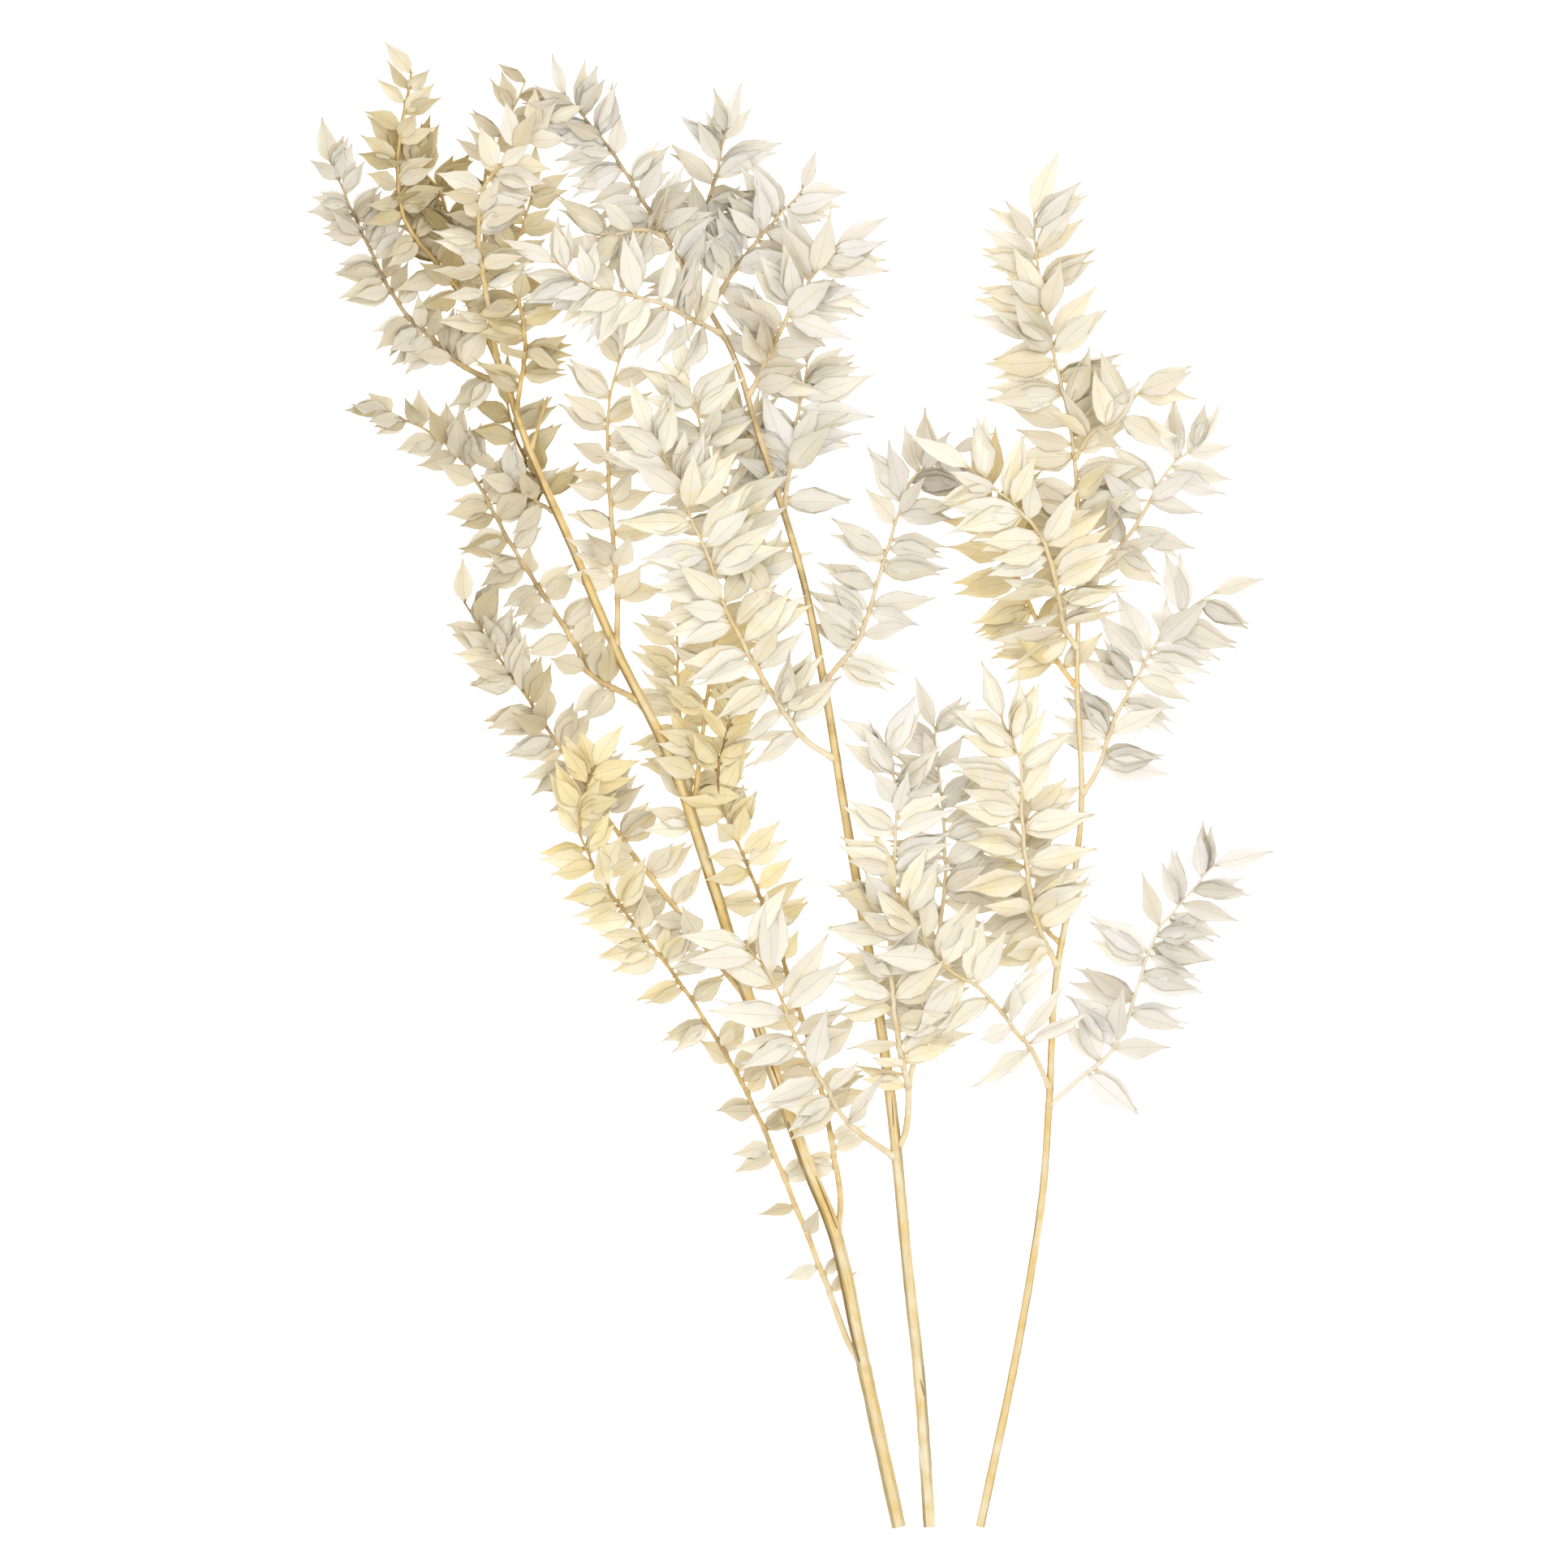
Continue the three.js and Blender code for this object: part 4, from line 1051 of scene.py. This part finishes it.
    Twig("right_shoot_08", "right_stem", Tone.GREY, (18, 8), seed=308, radius=1.2, bare=14, leaf=(30, 30),
         spacing=(8, 8), tip=(214, 188), fill=(1.1, 1.3), warmth=(0.25, 0.03), age=(0.16, 0.32),
         bark=(0.2, 0.2), route=((144, 96), (153, 105), (167, 122), (175, 134), (187, 155), (203, 168))),
    Twig("right_shoot_09", "right_stem", Tone.CREAM, (26, 22), seed=309, radius=1.1, bare=8,
         leaf=(32, 32), spacing=(7, 7), tip=(202, 207), fill=(0.4, 0.7), warmth=(0.5, 0.4),
         age=(0.05, 0.25), bark=(0.25, 0.35), reach=1.02, route=((141, 160), (150, 173), (159, 176),
         (174, 195))),
)

STEM_CLIMB = 0.42
SHOOT_CLIMB = 0.38
TIP_MATCH = 0.05
CEILING = 78.0

SPUR_BEARER = "left_stem"
SPUR_FOOT = (-123, 164)
SPUR_TIP = (-117, 190)
SPUR_RISE = 9.0
SPUR_RADIUS = 1.1
SPUR_SEED = 7

# Slits, painted shadows of grooves and peeled strips, where the photograph shows them.
SLIVERS = (
    # Painted shadow: this widest strip stands for the shade in the groove between the left stem and
    # left_shoot_01.
    Sliver("left_stem", (9.5, -196), (37.2, -289), 2.4, 1.3),
    Sliver("left_stem", (-1, -160), (20, -226), 1.6, 1.1),
    Sliver("left_stem", (13, -189), (25, -219), 0.9, 1.3),
    Sliver("left_stem", (-50, -20), (-33, -64), 1.7, 1.0),
    Sliver("left_stem", (-67, 24), (-55, -4), 1.2, 1.0),
    Sliver("left_stem", (-15, -116), (-3, -150), 1.4, 1.1),
    Sliver("left_stem", (-84, 62), (-70, 36), 0.8, 1.0),
    Sliver("left_stem", (-128, 165), (-117, 140), 0.8, 1.0),
    Sliver("middle_stem", (65.2, -291), (67.6, -301), 0.8, 1.15),
    Sliver("middle_stem", (64.9, -323), (66.4, -338), 1.2, 0.0, 1.0),
    Sliver("middle_stem", (51, -150), (52, -168), 0.7, 0.95),
    Sliver("middle_stem", (5, 106), (9, 92), 0.8, 1.1),
    Sliver("right_stem", (129.5, -152), (131, -138), 0.6, 0.9),
)


def linear(colour: str) -> tuple[float, float, float, float]:
    """An sRGB hex value as the linear colour that the shaders take."""
    parts = [int(colour[k:k + 2], 16) / 255 for k in (1, 3, 5)]
    return (*(c / 12.92 if c <= 0.04045 else ((c + 0.055) / 1.055) ** 2.4 for c in parts), 1.0)


def add_node(
    tree: bpy.types.NodeTree, kind: str, inputs: dict, out: int | str = 0, **settings: object,
) -> bpy.types.NodeSocket:
    """Adds a node with its settings, values and links.

    Args:
        tree: the material's node tree.
        kind: Blender's name for the shader node, less the word before it.
        inputs: for each input, by name or number, its value or the socket to link to it.
        out: the output that is wanted.
        **settings: the node's own properties.

    Returns:
        That output.
    """
    node = tree.nodes.new("ShaderNode" + kind)
    for name, value in settings.items():
        setattr(node, name, value)
    for key, value in inputs.items():
        if isinstance(value, bpy.types.NodeSocket):
            tree.links.new(value, node.inputs[key])
        else:
            node.inputs[key].default_value = value
    return node.outputs[out] if node.outputs else node.inputs[0]


def empty_material(name: str) -> tuple[bpy.types.Material, Callable]:
    """A material with an empty node tree, and what adds nodes to that tree."""
    material = bpy.data.materials.new(name)
    material.use_nodes = True
    material.node_tree.nodes.clear()
    return material, partial(add_node, material.node_tree)


# A mix of colours: the factor is input 0, the colours are 6 and 7, and it comes out at 2.
MIX = {"data_type": "RGBA", "out": 2}


@dataclass(frozen=True)
class LeafFinish:
    """Bleached, air-dried leaf: papery and matt, and thin enough for light to come through.

    The bleach takes it from straw yellow through cream to greyish white. Its fine veins run
    from the foot to the point, and its point and foot stay darker than the blade. Its margin
    is darker too: partly the rim's own colour, partly painted shade where the curled edge
    turns from the light.
    """

    name: str
    grey: str = "#e8e5e1"
    cream: str = "#f3edda"
    straw: str = "#efdfae"
    shade: str = "#c6b284"
    foot: str = "#ccb276"
    edge: str = "#94804f"
    veins: float = 5.0
    blotch: float = 8.0
    grain: float = 0.9

    def build(self) -> bpy.types.Material:
        """Makes the material from the leaf's map, where u runs across it and v along it."""
        material, add = empty_material(self.name)
        chart = add("UVMap", {}, uv_map="surface")
        u, v = (add("SeparateXYZ", {0: chart}, out=axis) for axis in "XY")
        place = add("TexCoord", {}, out="Object")
        warmth, age, chance = (
            add("Attribute", {}, out="Fac", attribute_name=mark) for mark in ("warmth", "age", "chance"))
        blotch, grain = (
            add("TexNoise", {"Vector": place, "Scale": 1 / (size * MM), "Detail": detail})
            for size, detail in ((self.blotch, 3.0), (self.grain, 2.0)))

        # Tone: warmth and its blotches, from grey to cream and from cream to straw.
        mottle = add("MapRange", {0: blotch, 1: 0.3, 2: 0.7, 3: -0.17, 4: 0.17})
        warm = add("Math", {0: warmth, 1: mottle}, operation="ADD")
        low = add("MapRange", {0: warm, 1: 0.0, 2: 0.5})
        high = add("MapRange", {0: warm, 1: 0.5, 2: 1.0})

        # Veins: a sine of the way from midrib to margin, which wanders with the blotches. How
        # many there are on each half of the blade is a guess, as none were counted.
        across = add("Math", {0: u, 1: 2.0, 2: -1.0}, operation="MULTIPLY_ADD")
        across = add("Math", {0: across}, operation="ABSOLUTE")
        wander = add("Math", {0: blotch, 1: 0.06, 2: across}, operation="MULTIPLY_ADD")
        turns = add("Math", {0: wander, 1: self.veins * 2 * math.pi}, operation="MULTIPLY")
        stripe = add("Math", {0: turns}, operation="SINE")
        vein = add("MapRange", {0: stripe, 1: 0.4, 2: 1.0, 3: 0.0, 4: 0.16})
        midrib = add("MapRange", {0: across, 1: 0.02, 2: 0.07, 3: 0.3, 4: 0.0})
        # The margin is darkened: partly the leaf's own rim colour, partly painted shade at the curled
        # edge.
        margin = add("MapRange", {0: across, 1: 0.9, 2: 1.0, 3: 0.0, 4: 0.74})
        foot = add("MapRange", {0: v, 1: 0.02, 2: 0.12, 3: 0.6, 4: 0.0})
        reach = add("MapRange", {0: chance, 3: 0.95, 4: 0.78})
        point = add("MapRange", {0: v, 1: reach, 2: 1.0, 3: 0.0, 4: 0.82})

        # Brown flecks on about one leaf in three.
        worn = add("MapRange", {0: chance, 1: 0.66, 2: 0.72, 3: 0.0, 4: 1.0})
        fleck = add("MapRange", {0: grain, 1: 0.66, 2: 0.74, 3: 0.0, 4: 0.5})
        fleck = add("Math", {0: fleck, 1: worn}, operation="MULTIPLY")

        colour = linear(self.grey)
        for amount, tint in (
            (low, self.cream), (high, self.straw), (age, self.shade), (vein, self.shade),
            (midrib, self.shade), (margin, self.edge), (point, self.edge), (foot, self.foot),
            (fleck, self.foot),
        ):
            colour = add("Mix", {0: amount, 6: colour, 7: linear(tint)}, **MIX)
        relief = add("Math", {0: grain, 1: 0.3, 2: vein}, operation="MULTIPLY_ADD")
        relief = add("Math", {0: relief, 1: midrib}, operation="ADD")
        normal = add("Bump", {
            "Height": relief, "Strength": 0.6, "Distance": 0.3 * MM}, out="Normal")
        shader = add("BsdfPrincipled", {
            "Base Color": colour, "Normal": normal, "Roughness": 0.5, "Specular IOR Level": 0.5,
            "Subsurface Weight": 0.2, "Subsurface Scale": 0.9 * MM,
            "Subsurface Radius": (1.0, 0.9, 0.74)})
        add("OutputMaterial", {0: shader})
        return material


@dataclass(frozen=True)
class StemFinish:
    """Bleached, dried stem: straw gold and satin, with fine fibres along it.

    Its bark runs from cream through gold to brown, fades to grey towards grey leaves, and
    is browner round the knots where leaves and shoots stand. Both sides carry a painted olive
    shadow that comes and goes along the stem: shade drawn into the colour. A cut end shows
    the pale pith.
    """

    name: str
    pale: str = "#f0e4c2"
    gold: str = "#e9c982"
    brown: str = "#94763f"
    # Olive for the fibres' streaks and for the painted shadow on the stem's sides.
    fibre_and_shadow_olive: str = "#6f5d30"
    knot: str = "#9a6f3a"
    pith: str = "#f6ecd2"
    fibre: float = 0.35
    fibre_length: float = 16.0
    girth: float = 8.0
    patch: float = 12.0

    def build(self) -> bpy.types.Material:
        """Makes the material from the tube's map: u round it and v along it in metres."""
        material, add = empty_material(self.name)
        chart = add("UVMap", {}, uv_map="surface")
        bark, knot, flank, pith, grey = (
            add("Attribute", {}, out="Fac", attribute_name=mark)
            for mark in ("bark", "knot", "flank", "pith", "grey"))
        place = add("TexCoord", {}, out="Object")
        # Fibres: taken as about 0.1 mm wide, from general knowledge and not measured. That is
        # too fine to show, so they are drawn coarser: as wide as fibre says on a stem that is
        # girth round, and in proportion on others, because u runs once round each of them.
        stretched = add("Mapping", {"Vector": chart, "Scale": (
            self.girth / self.fibre, 1 / (self.fibre_length * MM), 1.0)})
        fibre = add("TexNoise", {
            "Vector": stretched, "Scale": 1.0, "Detail": 4.0, "Roughness": 0.65})
        patch = add("TexNoise", {
            "Vector": place, "Scale": 1 / (self.patch * MM), "Detail": 3.0})
        mottle = add("MapRange", {0: patch, 1: 0.3, 2: 0.7, 3: -0.25, 4: 0.25})
        tone = add("Math", {0: bark, 1: mottle}, operation="ADD")
        low = add("MapRange", {0: tone, 1: 0.0, 2: 0.5})
        high = add("MapRange", {0: tone, 1: 0.5, 2: 1.0})
        streak = add("MapRange", {0: fibre, 1: 0.45, 2: 0.8, 3: 0.0, 4: 0.45})
        browned = add("MapRange", {0: knot, 1: 0.15, 2: 1.0, 3: 0.0, 4: 0.32})
        # Painted shadow: the marked sides of the stem are mixed towards the olive.
        edge = add("MapRange", {0: flank, 1: 0.1, 2: 1.0, 3: 0.0, 4: 0.88})
        core = add("MapRange", {0: pith, 1: 0.2, 2: 0.6, 3: 0.0, 4: 0.9})
        colour = add("Mix", {0: low, 6: linear(self.pale), 7: linear(self.gold)}, **MIX)
        colour = add("Mix", {0: high, 6: colour, 7: linear(self.brown)}, **MIX)
        depth = add("MapRange", {0: grey, 1: 0.0, 2: 1.0, 3: 1.0, 4: 0.6})
        colour = add("HueSaturation", {"Saturation": depth, "Color": colour})
        for amount, tint in (
            (streak, self.fibre_and_shadow_olive), (edge, self.fibre_and_shadow_olive), (browned, self.knot), (core, self.pith),
        ):
            colour = add("Mix", {0: amount, 6: colour, 7: linear(tint)}, **MIX)
        normal = add("Bump", {
            "Height": fibre, "Strength": 0.7, "Distance": 0.3 * MM}, out="Normal")
        shader = add("BsdfPrincipled", {
            "Base Color": colour, "Normal": normal, "Roughness": 0.5, "Specular IOR Level": 0.4,
            "Subsurface Weight": 0.1, "Subsurface Scale": 1.0 * MM,
            "Subsurface Radius": (1.0, 0.8, 0.5)})
        add("OutputMaterial", {0: shader})
        return material


@dataclass
class Branch:
    """One of the three branches: its stem, its side shoots and all their leaves.

    A twig is drawn a little thicker than its solid, and keeps its girth for longer. A fine
    leaf is narrower than its blade and drawn out into a point.
    """

    stem: Twig
    shoots: list[Twig]
    rule: GrowthRule = GrowthRule()
    leaf_form: LeafForm = LeafForm()
    stem_form: RodForm = RodForm(
        sides=20, step=2.0, tip_radius=0.6, leaf_knot=0.16, shoot_knot=0.07, shoot_tint=0.5,
        grey_from=2.5)
    twig_form: RodForm = RodForm(sides=9, step=1.1, tip_radius=0.45, leaf_knot=0.2, shoot_knot=0.3)
    scale_form: ScaleForm = ScaleForm()
    twig_girth: float = 1.1
    stem_girth: float = 1.05
    tip_slimness: float = 0.8
    slimness: dict[Tone, float] = field(default_factory=lambda: {
        Tone.BEIGE: 0.94, Tone.CREAM: 0.89, Tone.GREY: 0.89})
    width_spread: Span = (0.82, 1.06)
    warmth_spread: float = 0.2
    age_spread: Span = (0.1, 0.25)
    youngest: float = -0.1
    oldest: float = 0.9
    lines: dict[str, Line] = field(default_factory=dict)

    def lay_out(self) -> None:
        """Lays out the axis of the stem and those of its shoots, from what bears each."""
        stem = self.stem
        points = lift_route(stem.route, stem.radius, stem.heights, STEM_CLIMB)
        self.lines[stem.name] = Line(points)
        for shoot in self.shoots:
            _, foot = self.lines[shoot.bearer].nearest(shoot.route[0])
            route = ((foot[0], foot[1]), *shoot.route[1:])
            points = lift_route(route, foot[2], shoot.heights, SHOOT_CLIMB)
            self.lines[shoot.name] = Line(points)

    def solid_corners(self, name: str) -> np.ndarray:
        """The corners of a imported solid, in the millimetres of the routes."""
        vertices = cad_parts[name].data.vertices
        flat = np.empty(len(vertices) * 3, np.float32)
        vertices.foreach_get("co", flat)
        return flat.reshape(-1, 3).astype(float) / MM - MIDDLE

    def stance(self, here: tuple, root: Root, corners: np.ndarray) -> np.ndarray | None:
        """The axes of the blade that the solid has at a root.

        The solid's blade may be turned to find room, so the tip of each turn is looked for
        among the solid's corners.

        Args:
            here: point, direction, sideways and upward vectors of the twig at the root.
            root: how the leaf stands before it is turned.
            corners: the solid's corners.

        Returns:
            The leaf's axes, or None where the solid has no blade.
        """
        if not root.bound:
            return self.rule.axes(here, root, (0, 0))
        for more in self.rule.tries:
            axes = self.rule.axes(here, root, more)
            tip = here[0] + (axes[0] + axes[2] * root.arch) * root.length
            tip[2] = max(tip[2], 0.0)
            if np.abs(corners - tip).max(axis=1).min() < TIP_MATCH:
                return axes
        return None

    def leaves(self, twig: Twig) -> tuple[list[Leaf], list[Root]]:
        """All leaves of a twig, each where its blade lies in the solids.

        Args:
            twig: the twig.

        Returns:
            The leaves and their roots.
        """
        line = self.lines[twig.name]
        draw = np.random.RandomState(twig.seed + LEAF_SEED)
        bound = self.rule.roots(twig, line)
        roots = bound + self.rule.filling(twig, bound)
        frames = line.frames(np.array([root.share for root in roots]))
        corners = self.solid_corners(twig.name)
        first = bound[0].share
        leaves: list[Leaf] = []
        missing = 0
        for number, root in enumerate(roots):
            here = tuple(part[number] for part in frames)
            axes = self.stance(here, root, corners)
            if axes is None:
                axes = self.rule.axes(here, root, (0, 0))
                missing += 1
            if not root.bound and here[0][2] + axes[0][2] * root.length > CEILING:
                continue
            height = (root.share - first) / (1 - first)
            age = twig.at(twig.age, height)
            even, by_age = self.age_spread
            aged = max(self.youngest, draw.normal(0.0, even + by_age * max(age, 0.0)))
            length = root.length * twig.reach
            slim = self.tip_slimness if root is bound[-1] else self.slimness[twig.tone]
            leaves.append(Leaf(
                here[0], axes, length,
                slim * length * twig.spread * draw.uniform(*self.width_spread), root.arch,
                twig.at(twig.warmth, height) + draw.uniform(-self.warmth_spread, self.warmth_spread),
                float(np.clip(age + aged, 0, self.oldest)),
            ))
        log.info("%s: %d leaves, %d without a blade", twig.name, len(leaves), missing)
        return leaves, roots

    def knots(self, twig: Twig, roots: list[Root]) -> np.ndarray:
        """Share, strength and side of each knot: one at each leaf and each borne shoot."""
        knots = [(root.share, LEAF_KNOT, float(root.hand)) for root in roots]
        for child in self.shoots:
            if child.bearer == twig.name:
                share, _ = self.lines[twig.name].nearest(child.route[0])
                knots.append((share, SHOOT_KNOT, 0.0))
        return np.array(knots)

    def scales(self, twig: Twig, roots: list[Root]) -> Sheet:
        """A dry scale under each leaf of a twig, with the marks that a twig has."""
        frames = self.lines[twig.name].frames(np.array([root.share for root in roots]))
        sheet = self.scale_form.shape(frames, roots, twig.seed + SCALE_SEED)
        return sheet.mark(
            knot=0.5, pith=0.0, bark=max(twig.bark), flank=0.0, grey=twig.faded(True)[1])

    def rod(self, twig: Twig, roots: list[Root]) -> Sheet:
        """The stem or twig itself with its scales."""
        line = self.lines[twig.name]
        form = self.twig_form if twig.bearer else self.stem_form
        bearers = {piece.name: piece.radius for piece in (self.stem, *self.shoots)}
        sunk = bearers.get(twig.bearer, 0.0)
        knots = self.knots(twig, roots)
        radius = twig.radius * (self.twig_girth if twig.bearer else self.stem_girth)
        grey = twig.faded(bool(twig.bearer))
        rods = [form.shape(line, radius, sunk, knots, twig.bark, grey, twig.seed)]
        rods.append(self.scales(twig, roots))
        for sliver in SLIVERS:
            if sliver.stem == twig.name:
                rods.append(sliver.shape(line, radius, form.tip_radius))
        if twig.name == SPUR_BEARER:
            _, foot = line.nearest(SPUR_FOOT)
            end = np.array([*SPUR_TIP, foot[2] + SPUR_RISE])
            spur = Line(np.array([foot, (foot + end) / 2, end]))
            bare = np.zeros((0, 3))
            rods.append(self.twig_form.shape(
                spur, SPUR_RADIUS, twig.radius, bare, (0.5, 0.8), grey, SPUR_SEED))
        return Sheet.join(rods)

    def build(self, finishes: dict[str, bpy.types.Material]) -> list[bpy.types.Object]:
        """Makes the pieces of the branch: a rod and its leaves for each solid.

        Args:
            finishes: the materials by slot.

        Returns:
            The pieces.
        """
        self.lay_out()
        pieces = []
        for twig in (self.stem, *self.shoots):
            leaves, roots = self.leaves(twig)
            rod = write_mesh(f"twig_{twig.name}", self.rod(twig, roots), finishes["stem"])
            sheet = self.leaf_form.shape(leaves, twig.seed)
            blades = write_mesh(f"leaves_{twig.name}", sheet, finishes[twig.tone.value])
            for piece, slot in ((rod, "stem"), (blades, twig.tone.value)):
                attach(piece, "root")
                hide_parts(twig.name)
                pieces.append(piece)
        return pieces


@dataclass(frozen=True)
class Lamp:
    """A square soft light: place and size in metres, and power in watts."""

    name: str
    place: tuple[float, float, float]
    size: float
    power: float
    tint: str = "#eff5ff"

    def build(self) -> None:
        """Hangs the light, aimed at the middle of the bunch."""
        data = bpy.data.lights.new(self.name, "AREA")
        data.size = self.size
        data.energy = self.power
        data.color = linear(self.tint)[:3]
        lamp = bpy.data.objects.new(self.name, data)
        lamp.location = self.place
        lamp.rotation_mode = "QUATERNION"
        lamp.rotation_quaternion = (-Vector(self.place)).to_track_quat("-Z", "Y")
        bpy.context.scene.collection.objects.link(lamp)


@dataclass(frozen=True)
class Studio:
    """A white floor, soft light and a camera that looks straight down on the bunch."""

    view_width: float = 772.8
    view_centre: tuple[float, float] = (-1.6, 0.6)
    distance: float = 3.2
    sensor: float = 36.0
    floor_reach: float = 6.0
    floor_paint: str = "#fbfaf8"
    floor_glow: float = 0.72
    sky: float = 0.72
    sky_tint: str = "#fef8ef"
    lamps: tuple[Lamp, ...] = (
        Lamp("window", (0.72, 0.4, 2.3), 1.15, 22.5),
        Lamp("fill", (-0.75, -0.25, 2.4), 1.15, 16.5),
    )

    def camera(self) -> None:
        """A long lens whose sensor takes in as much at the bunch as the photograph does."""
        data = bpy.data.cameras.new("camera")
        data.sensor_width = self.sensor
        data.lens = self.sensor * self.distance / (self.view_width * MM)
        camera = bpy.data.objects.new("camera", data)
        centre = (np.array([*self.view_centre, 0.0]) + MIDDLE) * MM
        camera.location = (centre[0], centre[1], self.distance)
        bpy.context.scene.collection.objects.link(camera)
        bpy.context.scene.camera = camera

    def light(self) -> None:
        """Soft lights from high on the right and, weaker, on the left, and a warm pale sky."""
        for lamp in self.lamps:
            lamp.build()
        world = bpy.data.worlds.new("studio")
        world.use_nodes = True
        background = world.node_tree.nodes["Background"]
        background.inputs["Color"].default_value = linear(self.sky_tint)
        background.inputs["Strength"].default_value = self.sky
        bpy.context.scene.world = world
        bpy.context.scene.view_settings.view_transform = "Standard"

    def floor(self) -> None:
        """A large matt white floor with a faint glow of its own, so shadows stay pale."""
        mesh = bpy.data.meshes.new("floor")
        reach = self.floor_reach
        corners = [(-reach, -reach, 0), (reach, -reach, 0), (reach, reach, 0), (-reach, reach, 0)]
        mesh.from_pydata(corners, [], [(0, 1, 2, 3)])
        material, add = empty_material("white_paint")
        paint = linear(self.floor_paint)
        shader = add("BsdfPrincipled", {
            "Base Color": paint, "Roughness": 0.9, "Emission Color": paint,
            "Emission Strength": self.floor_glow})
        add("OutputMaterial", {0: shader})
        mesh.materials.append(material)
        floor = bpy.data.objects.new("floor", mesh)
        bpy.context.scene.collection.objects.link(floor)

    def build(self) -> None:
        """Sets up camera, light and floor."""
        self.camera()
        self.light()
        self.floor()


def main() -> None:
    """Builds the studio and the three branches, and reports each piece."""
    Studio().build()
    finishes = {
        "leaf_grey": LeafFinish(
            "bleached_leaf_grey", grey="#e9e6e1", shade="#beb08c", foot="#c8b88a").build(),
        "leaf_cream": LeafFinish("bleached_leaf_cream").build(),
        "leaf_beige": LeafFinish("bleached_leaf_beige", grey="#e2dfd8", shade="#b09d6a").build(),
        "stem": StemFinish("dried_stem").build(),
    }
    for stem in STEMS:
        side = stem.name.split("_")[0]
        shoots = [shoot for shoot in SHOOTS if shoot.name.startswith(side)]
        for piece in Branch(stem, shoots).build(finishes):
            log.info("%s: %d faces", piece.name, len(piece.data.polygons))


if __name__ == "__main__":
    logging.basicConfig(level=logging.INFO)
    main()
